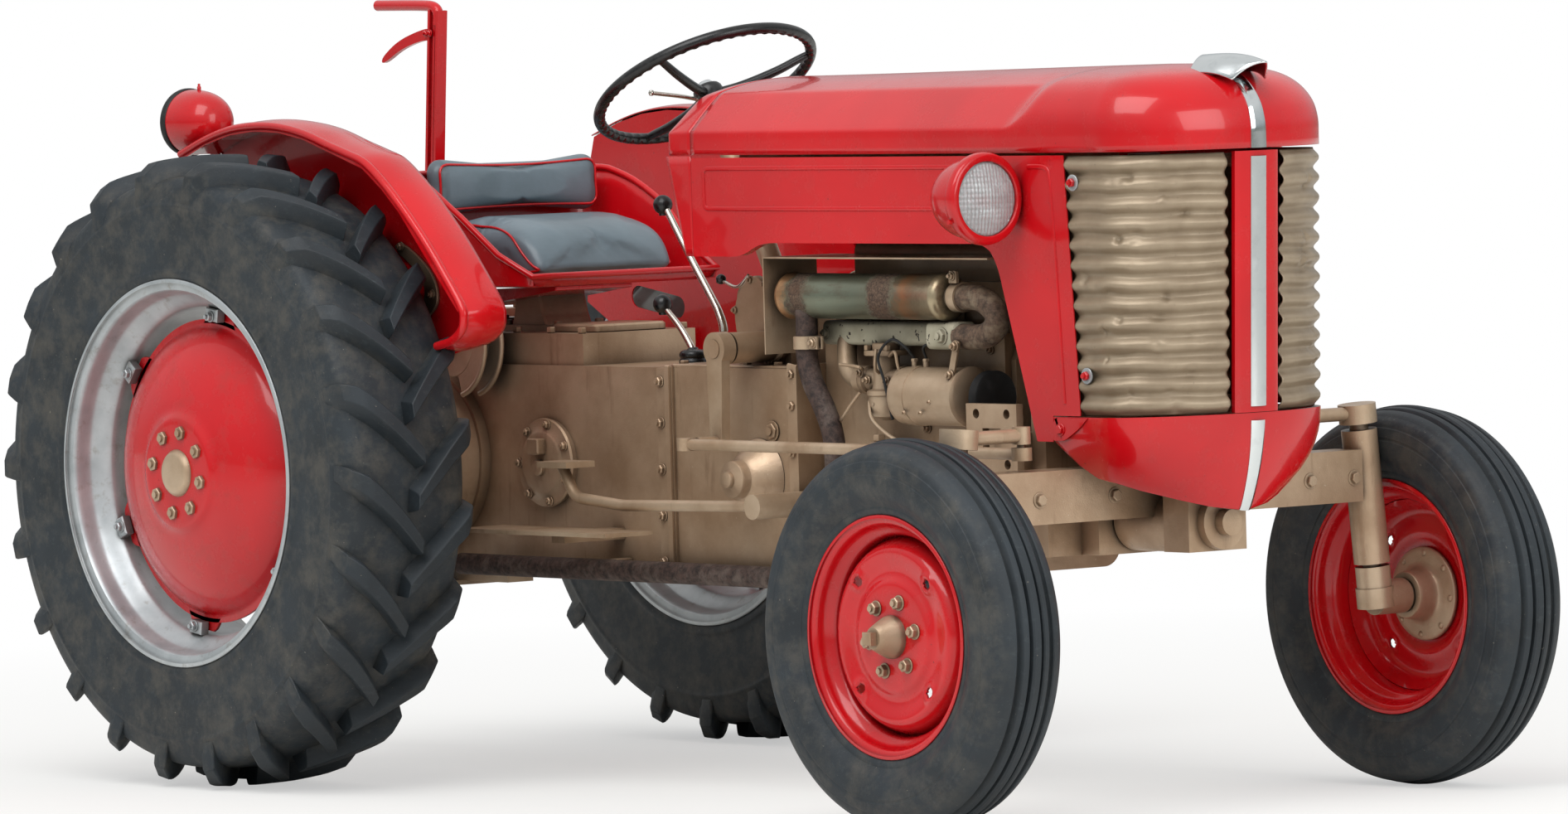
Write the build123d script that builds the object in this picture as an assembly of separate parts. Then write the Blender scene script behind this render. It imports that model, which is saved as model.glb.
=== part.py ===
from build123d import *
import math
import os

# Farm tractor of the 1950s, full size, in millimetres.
# Stations along X are measured forward from the rear axle while modelling.
# Heights are drawn with the rear axle at AXLE_Z, so the floor under the tyres is at FLOOR_Z.
# The finished pieces are moved so that the origin lies on the floor under the middle of the machine.
# +X is forward, +Y is the driver's left, +Z is up, and the floor is Z = 0.

# Driving dimensions
WHEELBASE = 2030
REAR_TRACK = 1300
FRONT_TRACK = 1222
REAR_TYRE_R = 620
REAR_TYRE_WIDTH = 300
REAR_RIM_R = 381
REAR_RIM_WIDTH = 290
FRONT_TYRE_R = 358
FRONT_TYRE_WIDTH = 166
FRONT_RIM_R = 222
FRONT_RIM_WIDTH = 127
LINK_REACH = 760
SHEET = 3
RUNNING_GAP = 6
PIN_GAP = 0.1
OPEN_PIN_GAP = 0.5
SEAT_GAP = 0.3
AXLE_Z = 620
FLOOR_Z = AXLE_Z - REAR_TYRE_R
FRONT_AXLE_Z = FLOOR_Z + FRONT_TYRE_R

# Bodywork
BODY_HALF = 254
SEAM_Z = 1216
SEAM_GAP = 3
CREASE_Z = 1267
HOOD_TOP_Z = 1376
HOOD_REAR_X = 972
NOSE_START_X = WHEELBASE + 130
NOSE_X = WHEELBASE + 292
GRILLE_FOOT_Z = 735
GRILLE_LEAN = 19
CHIN_BOTTOM_Z = 557

# Castings
CASE_TOP_Z = 806
ENGINE_FRONT_X = 1730
COVER_X = ENGINE_FRONT_X + 14
ENGINE_HALF = 120

# Steering
KINGPIN_TOP_Z = 690
KINGPIN_TOP_Y = 488
KINGPIN_FOOT_Y = 520
KINGPIN_R = 18
HUB_BORE_R = 28
BALL_PIN_R = 8
CROSS_SHAFT_R = 18
STEER_ARM = 150
DROP_ARM_TOP_Z = 850
DROP_ARM_DROP = 178
DROP_ARM_X = 1040
DROP_ARM_Y = 235

# Steering wheel
WHEEL_RING_R = 218
WHEEL_RING_WIRE_R = 13
WHEEL_TILT = 29
WHEEL_X = 702
WHEEL_Z = 1351
WHEEL_SHAFT_R = 12

# Origin under the middle of the length, from the link ends to the front tyres
FRONT_REACH = WHEELBASE + FRONT_TYRE_R
REAR_REACH = LINK_REACH
ORIGIN_X = (FRONT_REACH - REAR_REACH) / 2


def box(x0, x1, y0, y1, z0, z1):
    """A block between two corners."""
    size = Box(abs(x1 - x0), abs(y1 - y0), abs(z1 - z0))
    return Pos((x0 + x1) / 2, (y0 + y1) / 2, (z0 + z1) / 2) * size


def bar(start, end, radius, inner=0):
    """A round bar or tube between two points."""
    a = Vector(*start)
    b = Vector(*end)
    plane = Plane(origin=a, z_dir=b - a)
    ring = Circle(radius) - Circle(inner) if inner else Circle(radius)
    return extrude(plane * ring, amount=(b - a).length)


def tube(points, radii, radius, inner=0):
    """A round tube along straight runs joined by arcs."""
    path = FilletPolyline(*points, radius=radii)
    plane = Plane(origin=path @ 0, z_dir=path % 0)
    ring = Circle(radius) - Circle(inner) if inner else Circle(radius)
    return sweep(plane * ring, path=path)


def side_plate(points, y0, y1):
    """A flat shape drawn from the side, (x, z), and carried from y0 to y1."""
    face = make_face(Polyline(*[(x, 0, z) for x, z in points], close=True))
    return Pos(0, min(y0, y1), 0) * extrude(face, amount=abs(y1 - y0), dir=(0, 1, 0))


def plan_plate(points, z0, z1):
    """A flat shape drawn from above, (x, y), and carried from z0 to z1."""
    face = make_face(Polyline(*[(x, y, 0) for x, y in points], close=True))
    return Pos(0, 0, z0) * extrude(face, amount=z1 - z0, dir=(0, 0, 1))


def front_plate(points, x0, x1):
    """A flat shape drawn from the front, (y, z), and carried from x0 to x1."""
    face = make_face(Polyline(*[(0, y, z) for y, z in points], close=True))
    return Pos(x0, 0, 0) * extrude(face, amount=x1 - x0, dir=(1, 0, 0))


def nose_plan(rear, start, front, half):
    """A plan outline with straight sides and a half-elliptical nose."""
    sides = Pos((rear + start) / 2, 0) * Rectangle(start - rear, 2 * half)
    return sides + Pos(start, 0) * Ellipse(front - start, half)


def turned_x(points, centre):
    """A closed outline of (x, radius) turned about the X axis through a centre."""
    face = make_face(Polyline(*[(x, r, 0) for x, r in points], close=True))
    return Pos(*centre) * revolve(face, axis=Axis.X)


def turned(points, centre):
    """A closed outline of (radius, y) turned about the Y axis through a centre."""
    face = make_face(Polyline(*[(r, y, 0) for r, y in points], close=True))
    return Pos(*centre) * revolve(face, axis=Axis.Y)


def faceted(outline, sides):
    """A ring about the Y axis, its (radius, y) outline carried round in flat facets."""
    reach = 2 * max(radius for radius, _ in outline)
    half = reach * math.tan(math.pi / sides)
    slab = front_plate([(y, radius) for radius, y in outline], -half, half)
    wedge = side_plate([(0, 0), (-half, reach), (half, reach)], -reach, reach)
    return ring_of(slab & wedge, sides, (0, 0, 0), 180 / sides)


def both_sides(shape):
    """A right-hand shape and its mirror image on the left."""
    return [shape, mirror(shape, about=Plane.XZ)]


def ring_of(shape, count, centre, start=0):
    """Copies of a shape spaced evenly about the Y axis through a centre."""
    return [
        Pos(*centre) * Rot(0, start + 360 * i / count, 0) * Pos(-centre[0], -centre[1], -centre[2]) * shape
        for i in range(count)
    ]


NODES = {}


def keep(name, *shapes):
    """Stores a node's solids under its name, moved to the machine's origin."""
    solids = []
    for shape in shapes:
        solids += list(shape.solids())
    NODES[name] = [Pos(-ORIGIN_X, 0, -FLOOR_Z) * s for s in solids]


# Rear wheels
REAR_SIDE_Y = REAR_TRACK / 2
REAR_CENTRE = (0, -REAR_SIDE_Y, AXLE_Z)
LUGS = 22
LUG_HEIGHT = 36
LUG_RUN = 75
LUG_HALF = 17
LUG_DRAFT = 8
LUG_START = 14
LOBES = 6
LOBE_START = 8
HUB_PLATE_Y = -138
FLANGE_Y = -50
AXLE_FLANGE_R = 105
BACKPLATE_Y = -630
SPIGOT_R = 42


def mirrored(line):
    """A line of (radius, y) from the right edge to the middle, and its mirror image on to the left edge."""
    return line + [(radius, -y) for radius, y in reversed(line)]


def lug():
    """One chevron lug at the top of the tyre: a slanting bar with sloping walls, from inside the shoulder."""
    end = REAR_TYRE_WIDTH / 2 - 2
    tip = math.sqrt(REAR_TYRE_R**2 - LUG_RUN**2)
    foot = REAR_RIM_R + 114
    wide = LUG_HALF + (tip - foot) * math.tan(math.radians(LUG_DRAFT))
    outline = [(LUG_RUN - wide, 20), (-LUG_RUN - wide, -end), (-LUG_RUN + wide, -end), (LUG_RUN + wide, 20)]
    return extrude(Pos(0, 0, foot) * make_face(Polyline(*outline, close=True)), amount=tip - foot, taper=LUG_DRAFT)


def rear_tyre():
    """Carcass with a facet to each pair of lugs, and a row of chevron lugs down each shoulder."""
    half = REAR_TYRE_WIDTH / 2
    bead = REAR_RIM_WIDTH / 2 - 5
    crown = REAR_TYRE_R - LUG_HEIGHT
    outside = mirrored([(REAR_RIM_R - 19, -bead), (REAR_RIM_R + 4, -bead), (REAR_RIM_R + 120, -half),
                        (crown, -half + 34)])
    row = ring_of(lug(), LUGS, (0, 0, 0), LUG_START)
    other = ring_of(mirror(lug(), about=Plane.XZ), LUGS, (0, 0, 0), LUG_START - 180 / LUGS)
    pieces = faceted(outside + [(crown - 44, 0)], LUGS) + row + other
    return Pos(*REAR_CENTRE) * pieces[0].fuse(*pieces[1:])


def rear_rim():
    """Rolled rim with flanges, bead seats and a drop centre."""
    half = REAR_RIM_WIDTH / 2
    seat = REAR_RIM_R - 21
    well = REAR_RIM_R - 55
    outline = [
        (REAR_RIM_R, -half),
        (REAR_RIM_R, -half + 5),
        (seat, -half + 5),
        (seat - 3, -half + 46),
        (well, -half + 84),
        (well, half - 84),
        (seat - 3, half - 46),
        (seat, half - 5),
        (REAR_RIM_R, half - 5),
        (REAR_RIM_R, half),
        (seat - 5, half),
        (seat - 8, half - 48),
        (well - 5, half - 86),
        (well - 5, -half + 86),
        (seat - 8, -half + 48),
        (seat - 5, -half),
    ]
    rim = turned(outline, REAR_CENTRE)
    lug_top = well - 5
    lug = box(-20, 20, FLANGE_Y - 28, FLANGE_Y - 4, lug_top - 26, lug_top + 3)
    lug = Pos(*REAR_CENTRE) * (lug + box(-20, 20, FLANGE_Y + 4, FLANGE_Y + 12, lug_top - 26, lug_top + 3))
    for copy in ring_of(lug, LOBES, REAR_CENTRE, LOBE_START):
        rim += copy
    return rim


def rear_disc():
    """Domed disc with six lobes that reach the rim's clamps, and a flat hub plate."""
    dome = REAR_RIM_R - 97
    outline = [
        (0, HUB_PLATE_Y),
        (108, HUB_PLATE_Y),
        (124, HUB_PLATE_Y + 8),
        (dome - 104, HUB_PLATE_Y + 20),
        (dome - 52, HUB_PLATE_Y + 38),
        (dome - 16, HUB_PLATE_Y + 58),
        (dome - 2, FLANGE_Y - 14),
        (dome, FLANGE_Y - 4),
        (dome + 16, FLANGE_Y - 4),
        (dome + 16, FLANGE_Y + 4),
        (dome - 8, FLANGE_Y + 4),
        (dome - 12, FLANGE_Y - 12),
        (dome - 24, HUB_PLATE_Y + 66),
        (dome - 58, HUB_PLATE_Y + 46),
        (dome - 108, HUB_PLATE_Y + 28),
        (108, HUB_PLATE_Y + 18),
        (0, HUB_PLATE_Y + 18),
    ]
    disc = turned(outline, REAR_CENTRE)
    lobe = box(-48, 48, FLANGE_Y - 4, FLANGE_Y + 4, dome + 6, REAR_RIM_R - 68)
    for copy in ring_of(Pos(*REAR_CENTRE) * lobe, LOBES, REAR_CENTRE, LOBE_START):
        disc += copy
    return disc


def rear_hub():
    """Axle flange behind the disc, the brake drum and the cap in the middle of the face."""
    y = -REAR_SIDE_Y + HUB_PLATE_Y
    z = AXLE_Z
    flange = bar((0, y + 18, z), (0, y + 40, z), AXLE_FLANGE_R)
    drum = bar((0, y + 40, z), (0, BACKPLATE_Y - RUNNING_GAP, z), 165)
    drum -= bar((0, BACKPLATE_Y, z), (0, BACKPLATE_Y - 34, z), SPIGOT_R + PIN_GAP)
    cap = bar((0, y, z), (0, y - 10, z), 44)
    return flange + drum + cap


# Front wheels
FRONT_SIDE_Y = FRONT_TRACK / 2
FRONT_CENTRE = (WHEELBASE, -FRONT_SIDE_Y, FRONT_AXLE_Z)
FRONT_DISC_Y = -44
FRONT_TYRE_FACETS = 24


def front_tyre():
    """Front tyre in flat facets, with walls that bulge past the rim and a flat middle rib."""
    half = FRONT_TYRE_WIDTH / 2
    bead = FRONT_RIM_WIDTH / 2 - 4
    hole = FRONT_RIM_R - 13
    tread = FRONT_TYRE_R * math.cos(math.pi / FRONT_TYRE_FACETS)
    outside = mirrored([(hole, -bead), (FRONT_RIM_R + 4, -bead), (FRONT_RIM_R + 60, -half), (tread - 14, -half + 20),
                        (tread, -8)])
    pieces = faceted(outside + [(FRONT_TYRE_R - 40, 0)], FRONT_TYRE_FACETS)
    return Pos(*FRONT_CENTRE) * pieces[0].fuse(*pieces[1:])


def front_rim():
    """Drop-centre rim with the pressed disc welded in."""
    half = FRONT_RIM_WIDTH / 2
    seat = FRONT_RIM_R - 14
    well = FRONT_RIM_R - 38
    disc_y = FRONT_DISC_Y
    outline = [
        (FRONT_RIM_R, -half),
        (FRONT_RIM_R, -half + 4),
        (seat, -half + 4),
        (seat - 2, -half + 22),
        (well, -half + 36),
        (well, half - 36),
        (seat - 2, half - 22),
        (seat, half - 4),
        (FRONT_RIM_R, half - 4),
        (FRONT_RIM_R, half),
        (seat - 4, half),
        (seat - 6, half - 24),
        (well - 4, half - 38),
        (well - 4, disc_y + 34),
        (well - 16, disc_y + 16),
        (150, disc_y + 10),
        (112, disc_y + 12),
        (92, disc_y + 5),
        (40, disc_y + 5),
        (40, disc_y),
        (96, disc_y),
        (114, disc_y + 7),
        (146, disc_y + 4),
        (well - 14, disc_y + 8),
        (well - 6, disc_y + 20),
        (well - 6, -half + 38),
        (seat - 6, -half + 24),
        (seat - 4, -half),
    ]
    rim = turned(outline, FRONT_CENTRE)
    x, y, z = FRONT_CENTRE
    hole = bar((x, y - 80, z + 150), (x, y + 20, z + 150), 9)
    for copy in ring_of(hole, 4, FRONT_CENTRE, 45):
        rim -= copy
    return rim


def front_hub():
    """Hub barrel with its riveted flange, cone and square end."""
    x, y, z = FRONT_CENTRE
    face = y + FRONT_DISC_Y
    flange = bar((x, face + 5, z), (x, face + 15, z), 88)
    barrel = bar((x, face + 15, z), (x, face + 62, z), 46)
    spigot = bar((x, face - 12, z), (x, face + 5, z), 39)
    cone = Pos(x, face - 12, z) * Rot(90, 0, 0) * Cone(39, 20, 34, align=(Align.CENTER, Align.CENTER, Align.MIN))
    square = box(x - 12, x + 12, face - 46, face - 62, z - 12, z + 12)
    hub = flange + barrel + spigot + cone + square
    bore = bar((x, face + 30, z), (x, face + 62, z), HUB_BORE_R)
    return hub - bore


# Knuckles
LINK_LINE_Y = -KINGPIN_TOP_Y + STEER_ARM
KING_LEAN = (KINGPIN_FOOT_Y - KINGPIN_TOP_Y) / (KINGPIN_TOP_Z - FRONT_AXLE_Z)


def king_point(z):
    """The point of the right kingpin's line at a height."""
    return (WHEELBASE, -KINGPIN_TOP_Y - (KINGPIN_TOP_Z - z) * KING_LEAN, z)


def ball_line(z0, z1):
    """Two points on the steering arm's ball pin, which is parallel to the kingpin."""
    return [(WHEELBASE, LINK_LINE_Y + (z - KINGPIN_TOP_Z) * KING_LEAN, z) for z in (z0, z1)]


def knuckle():
    """Kingpin with its foot, stub axle and steering arm."""
    x, _, z = FRONT_CENTRE
    foot_y = king_point(z)[1]
    hub_inner = -FRONT_SIDE_Y + FRONT_DISC_Y + 62
    top = KINGPIN_TOP_Z
    pin = bar(king_point(z), king_point(top + 4), KINGPIN_R)
    collar = bar(king_point(z + 16), king_point(z + 60), 33)
    elbow = bar(king_point(z - 18), king_point(z + 20), 36)
    collar_y = hub_inner + RUNNING_GAP
    stub = bar((x, foot_y + 4, z), (x, collar_y, z), 33)
    spindle = bar((x, collar_y, z), (x, hub_inner - 24, z), HUB_BORE_R - PIN_GAP)
    clamp = bar(king_point(top - 2), king_point(top + 34), 36)
    ball_y = LINK_LINE_Y
    arm = bar(king_point(top + 16), (x, ball_y, top + 16), 13)
    eye = bar((x, ball_y, top), (x, ball_y, top + 32), 17)
    ball_pin = bar(*ball_line(top - 26, top + 4), BALL_PIN_R)
    return pin + collar + elbow + stub + spindle + clamp + arm + eye + ball_pin


def drag_link():
    """Rod from the steering arm's ball back to the drop arm, in line with the machine."""
    y = LINK_LINE_Y
    z = DROP_ARM_TOP_Z - DROP_ARM_DROP
    low, high = KINGPIN_TOP_Z - 30, KINGPIN_TOP_Z - 6
    socket = bar((WHEELBASE, y, low), (WHEELBASE, y, high), 19)
    rod = bar((WHEELBASE, y, z), (DROP_ARM_X + 10, y, z), 11)
    end = bar((DROP_ARM_X, y, low), (DROP_ARM_X, y, high), 18)
    link = socket + rod + end
    return link - bar(*ball_line(low - 10, high + 16), BALL_PIN_R + PIN_GAP)


def drop_arm():
    """Lever on the steering box's cross shaft, with its ball pin at the foot."""
    x = DROP_ARM_X
    y = -DROP_ARM_Y
    foot_z = DROP_ARM_TOP_Z - DROP_ARM_DROP
    hub = bar((x, y, DROP_ARM_TOP_Z), (x, y - 30, DROP_ARM_TOP_Z), 32)
    arm = side_plate(
        [(x - 24, DROP_ARM_TOP_Z), (x + 24, DROP_ARM_TOP_Z), (x + 17, foot_z - 14), (x - 17, foot_z - 14)],
        y - 10,
        y - 30,
    )
    pin = bar((x, y - 30, foot_z), (x, LINK_LINE_Y + 26, foot_z), 12)
    return hub + arm + pin - bar((x, y + 10, DROP_ARM_TOP_Z), (x, y - 40, DROP_ARM_TOP_Z), CROSS_SHAFT_R + PIN_GAP)


ONE_SIDE = {
    "rear_tyre": rear_tyre(),
    "rear_rim": rear_rim(),
    "rear_disc": rear_disc() + rear_hub(),
    "front_tyre": front_tyre(),
    "front_rim": front_rim(),
    "front_hub": front_hub(),
    "knuckle": knuckle(),
    "drag_link": drag_link(),
    "drop_arm": drop_arm(),
}
for name, shape in ONE_SIDE.items():
    keep(f"{name}_right", shape)
    keep(f"{name}_left", mirror(shape, about=Plane.XZ))


# Castings of the driveline
def transmission_case():
    """Centre housing with its end flange and round side covers."""
    case = side_plate(
        [(-215, 470), (-170, 400), (765, 400), (765, CASE_TOP_Z), (-215, CASE_TOP_Z)], -150, 150
    )
    case += box(741, 765, -172, 172, 392, CASE_TOP_Z)
    case += bar((0, -172, AXLE_Z), (0, 172, AXLE_Z), 172)
    case += bar((368, -162, 615), (368, 162, 615), 85)
    for s in (-1, 1):
        case += box(LINK_X - 34, LINK_X + 34, s * 140, s * 176, 390, 448)
        case += bar((LINK_X, s * 170, LINK_Z), (LINK_X, s * (LINK_FRONT_Y + 22), LINK_Z), 12)
    return case


def axle_trumpet():
    """Axle housing from the centre case out to the brake's back plate."""
    outline = [
        (0, -172),
        (165, -172),
        (160, -215),
        (118, -290),
        (84, -370),
        (76, -560),
        (120, -610),
        (172, -618),
        (172, BACKPLATE_Y),
        (SPIGOT_R, BACKPLATE_Y),
        (SPIGOT_R, BACKPLATE_Y - 24),
        (0, BACKPLATE_Y - 24),
    ]
    return turned(outline, (0, 0, AXLE_Z))


def lift_cover():
    """Hydraulic lift cover with its cross bosses."""
    cover = box(-215, 470, -140, 140, CASE_TOP_Z, 868)
    cover += box(-215, -60, -140, 140, 868, 905)
    cover += bar((LIFT_X, -186, LIFT_Z), (LIFT_X, 186, LIFT_Z), 42)
    cover -= bar((LIFT_X, -200, LIFT_Z), (LIFT_X, 200, LIFT_Z), 28)
    return cover


LIFT_X = -130
LIFT_Z = 850
LIFT_ARM = 300
LINK_X = -60
LINK_Z = 424
LINK_DROP = 4
LINK_LONG = (LINK_REACH + LINK_X - 24) / math.cos(math.radians(LINK_DROP))
ARM_IN = 192
ROD_Y = 226
LINK_FRONT_Y = 196
LINK_BALL_Y = 341
PIN_R = 9
BALL_R = 24
BALL_HALF = 16
HITCH_PIN_R = 11


def along(x, z, length):
    """A point behind (x, z) at the links' resting slope."""
    a = math.radians(LINK_DROP)
    return (x - length * math.cos(a), z - length * math.sin(a))


def lift_arms():
    """Cross shaft with a lever at each end, over the lower links."""
    end_x, end_z = along(LIFT_X, LIFT_Z, LIFT_ARM)
    arms = bar((LIFT_X, -ARM_IN - 20, LIFT_Z), (LIFT_X, ARM_IN + 20, LIFT_Z), 26)
    for s in (-1, 1):
        y0, y1 = s * ARM_IN, s * (ARM_IN + 20)
        lever = side_plate(
            [
                (LIFT_X + 8, LIFT_Z + 42),
                (LIFT_X + 8, LIFT_Z - 42),
                (end_x, end_z - 20),
                (end_x, end_z + 20),
            ],
            y0,
            y1,
        )
        arms += lever + bar((LIFT_X, y0, LIFT_Z), (LIFT_X, y1, LIFT_Z), 43)
        arms += bar((end_x, y0, end_z), (end_x, y1, end_z), 21)
        arms += bar((end_x, y1, end_z), (end_x, s * (ROD_Y + 12), end_z), PIN_R)
    return arms


def lift_rod():
    """Adjustable rod from the lift arm down to the lower link."""
    top_x, top_z = along(LIFT_X, LIFT_Z, LIFT_ARM)
    low_x, low_z = along(LINK_X, LINK_Z, LIFT_ARM)
    y = -ROD_Y
    rod = bar((low_x, y, low_z + 20), (top_x, y, top_z - 20), 11)
    lean = (top_x - low_x) / (top_z - low_z)
    barrel_z = (low_z + top_z) / 2
    half = 70
    rod += bar(
        (low_x + lean * (barrel_z - half - low_z), y, barrel_z - half),
        (low_x + lean * (barrel_z + half - low_z), y, barrel_z + half),
        19,
    )
    for x, z, gap in ((top_x, top_z, PIN_GAP), (low_x, low_z, OPEN_PIN_GAP)):
        rod += bar((x, y - 10, z), (x, y + 10, z), 24)
        rod -= bar((x, y - 20, z), (x, y + 20, z), PIN_R + gap)
    return rod


def lower_link():
    """Lower link from its pivot under the axle to the ball at the hitch end."""
    ball_x, ball_z = along(LINK_X, LINK_Z, LINK_LONG)
    pin_x, pin_z = along(LINK_X, LINK_Z, LIFT_ARM)
    share = LIFT_ARM / LINK_LONG
    pin_y = LINK_FRONT_Y + share * (LINK_BALL_Y - LINK_FRONT_Y)
    front = (LINK_X, -LINK_FRONT_Y, LINK_Z)
    end = (ball_x, -LINK_BALL_Y, ball_z)
    link = bar(front, end, 15)
    link += bar((LINK_X, -LINK_FRONT_Y - 14, LINK_Z), (LINK_X, -LINK_FRONT_Y + 14, LINK_Z), 28)
    link += bar((pin_x, -ROD_Y + 14, pin_z), (pin_x, -pin_y - 14, pin_z), PIN_R)
    link -= bar((LINK_X, -400, LINK_Z), (LINK_X, 0, LINK_Z), 12)
    splay = math.atan2(LINK_BALL_Y - LINK_FRONT_Y, LINK_X - ball_x)
    out = Vector(math.sin(splay), -math.cos(splay), 0)
    centre = Vector(*end)
    link += bar(centre - out * BALL_HALF, centre + out * BALL_HALF, BALL_R)
    link -= bar(centre - out * 2 * BALL_HALF, centre + out * 2 * BALL_HALF, HITCH_PIN_R)
    return link


def drawbar():
    """Drawbar under the case with its pin hole, and its hanger."""
    bar_ = box(-560, 60, -32, 32, 362, 390)
    bar_ -= bar((-525, 0, 340), (-525, 0, 410), 13)
    bar_ += box(20, 60, -50, 50, 390, 400)
    bar_ += box(-150, -110, -70, 70, 352, 362)
    for s in (-1, 1):
        bar_ += box(-150, -110, s * 52, s * 70, 352, 400)
    return bar_


def bell_housing():
    """Clutch housing between the engine and the gearbox."""
    bell = plan_plate([(765, -165), (1170, -178), (1170, 178), (765, 165)], 414, 809)
    bell += box(765, 789, -172, 172, 404, 809)
    bell += box(1170, 1200, -190, 190, 430, 818)
    bell += bar((1060, -160, 600), (1060, -225, 600), 34)
    return bell


def engine_block():
    """Engine as one mass: sump, block, head and rocker cover."""
    block = box(1200, ENGINE_FRONT_X, -ENGINE_HALF, ENGINE_HALF, 560, 880)
    sump = box(1200, ENGINE_FRONT_X, -150, 150, 432, 560)
    head = box(1216, ENGINE_FRONT_X, -105, 105, 880, 975)
    rocker = box(1236, ENGINE_FRONT_X - 20, -72, 72, 975, 1050)
    rocker = fillet(rocker.edges().filter_by(Axis.X).group_by(Axis.Z)[-1], 22)
    sump = fillet(sump.edges().filter_by(Axis.X).group_by(Axis.Z)[0], 40)
    rail = box(1260, ENGINE_FRONT_X, -162, 162, 552, 568)
    cover = front_plate(
        [(-105, 600), (-105, 830), (-50, 940), (50, 940), (105, 830), (105, 600), (60, 480), (-60, 480)],
        ENGINE_FRONT_X,
        COVER_X,
    )
    canister = bar((1430, -182, 575), (1430, -182, 664), 44) + bar((1430, -182, 664), (1430, -182, 676), 22)
    bracket = box(1396, 1464, -182, -ENGINE_HALF, 596, 640)
    return block + sump + head + rocker + rail + cover + canister + bracket


def front_support():
    """Casting on the engine's front that carries the radiator, the axle's pin and a bolting plate each side."""
    rear = ENGINE_FRONT_X
    step = WHEELBASE - 150
    half = CASTING_HALF
    casting = box(step - 20, step + 20, -half, half, 470, 735) + box(step, WHEELBASE + 170, -half, half, 690, 735)
    casting += box(step, WHEELBASE - 80, -90, 90, 470, 690)
    casting += box(WHEELBASE + 80, WHEELBASE + 150, -70, 70, 480, 690)
    casting += bar((step, 0, PIVOT_Z), (WHEELBASE + 192, 0, PIVOT_Z), PIVOT_PIN_R)
    casting += bar((WHEELBASE + 80, 0, PIVOT_Z), (WHEELBASE + 170, 0, PIVOT_Z), 50)
    casting += bar((step, 0, PIVOT_Z), (WHEELBASE - 80, 0, PIVOT_Z), 60)
    for s, x in ((-1, PLATE_X), (1, PLATE_X + LEFT_PLATE_SHIFT)):
        casting += box(rear, step, s * 140, s * CASTING_HALF, 470, 700)
        plate = box(x - 72, x + 72, s * 240, s * 256, PLATE_Z - 65, PLATE_Z + 65)
        for hole_x in (x - PLATE_HOLES_X / 2, x + PLATE_HOLES_X / 2):
            for z in (PLATE_Z - PLATE_HOLES_Z / 2, PLATE_Z + PLATE_HOLES_Z / 2):
                plate -= bar((hole_x, s * 230, z), (hole_x, s * 270, z), PLATE_HOLE_R)
        plate -= box(x - 26, x + 26, s * 230, s * 270, PLATE_Z - 30, PLATE_Z + 20)
        casting += plate + box(x - 12, x + 12, s * CASTING_HALF, s * 240, PLATE_Z - 65, PLATE_Z + 8)
    return casting


PLATE_X = WHEELBASE - 182
PLATE_Z = 692
PLATE_HOLES_X = 87
PLATE_HOLES_Z = 93
PLATE_HOLE_R = 9
LEFT_PLATE_SHIFT = 8
CASTING_HALF = 170


PIVOT_Z = 533
PIVOT_PIN_R = 24


def axle_beam():
    """Straight front axle with its centre boss and kingpin sleeves."""
    beam = box(WHEELBASE - 38, WHEELBASE + 38, -462, 462, PIVOT_Z + 10, PIVOT_Z + 107)
    beam += bar((WHEELBASE - 74, 0, PIVOT_Z), (WHEELBASE + 74, 0, PIVOT_Z), 58)
    for s in (-1, 1):
        top, foot = [(x, s * y, z) for x, y, z in (king_point(KINGPIN_TOP_Z - 14), king_point(FRONT_AXLE_Z + 66))]
        beam += bar(top, foot, 34)
    for s in (-1, 1):
        top, foot = [(x, s * y, z) for x, y, z in (king_point(KINGPIN_TOP_Z + 30), king_point(FRONT_AXLE_Z + 22))]
        beam -= bar(top, foot, KINGPIN_R + PIN_GAP)
    return beam - bar((WHEELBASE - 90, 0, PIVOT_Z), (WHEELBASE + 90, 0, PIVOT_Z), PIVOT_PIN_R)


keep("transmission_case", transmission_case())
keep("axle_trumpets", *both_sides(axle_trumpet()))
keep("lift_cover", lift_cover())
keep("lift_arms", lift_arms())
keep("lift_rods", *both_sides(lift_rod()))
keep("lower_links", *both_sides(lower_link()))
keep("drawbar", drawbar())
keep("bell_housing", bell_housing())
keep("engine_block", engine_block())
keep("front_support", front_support())
keep("front_axle_beam", axle_beam())


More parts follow.
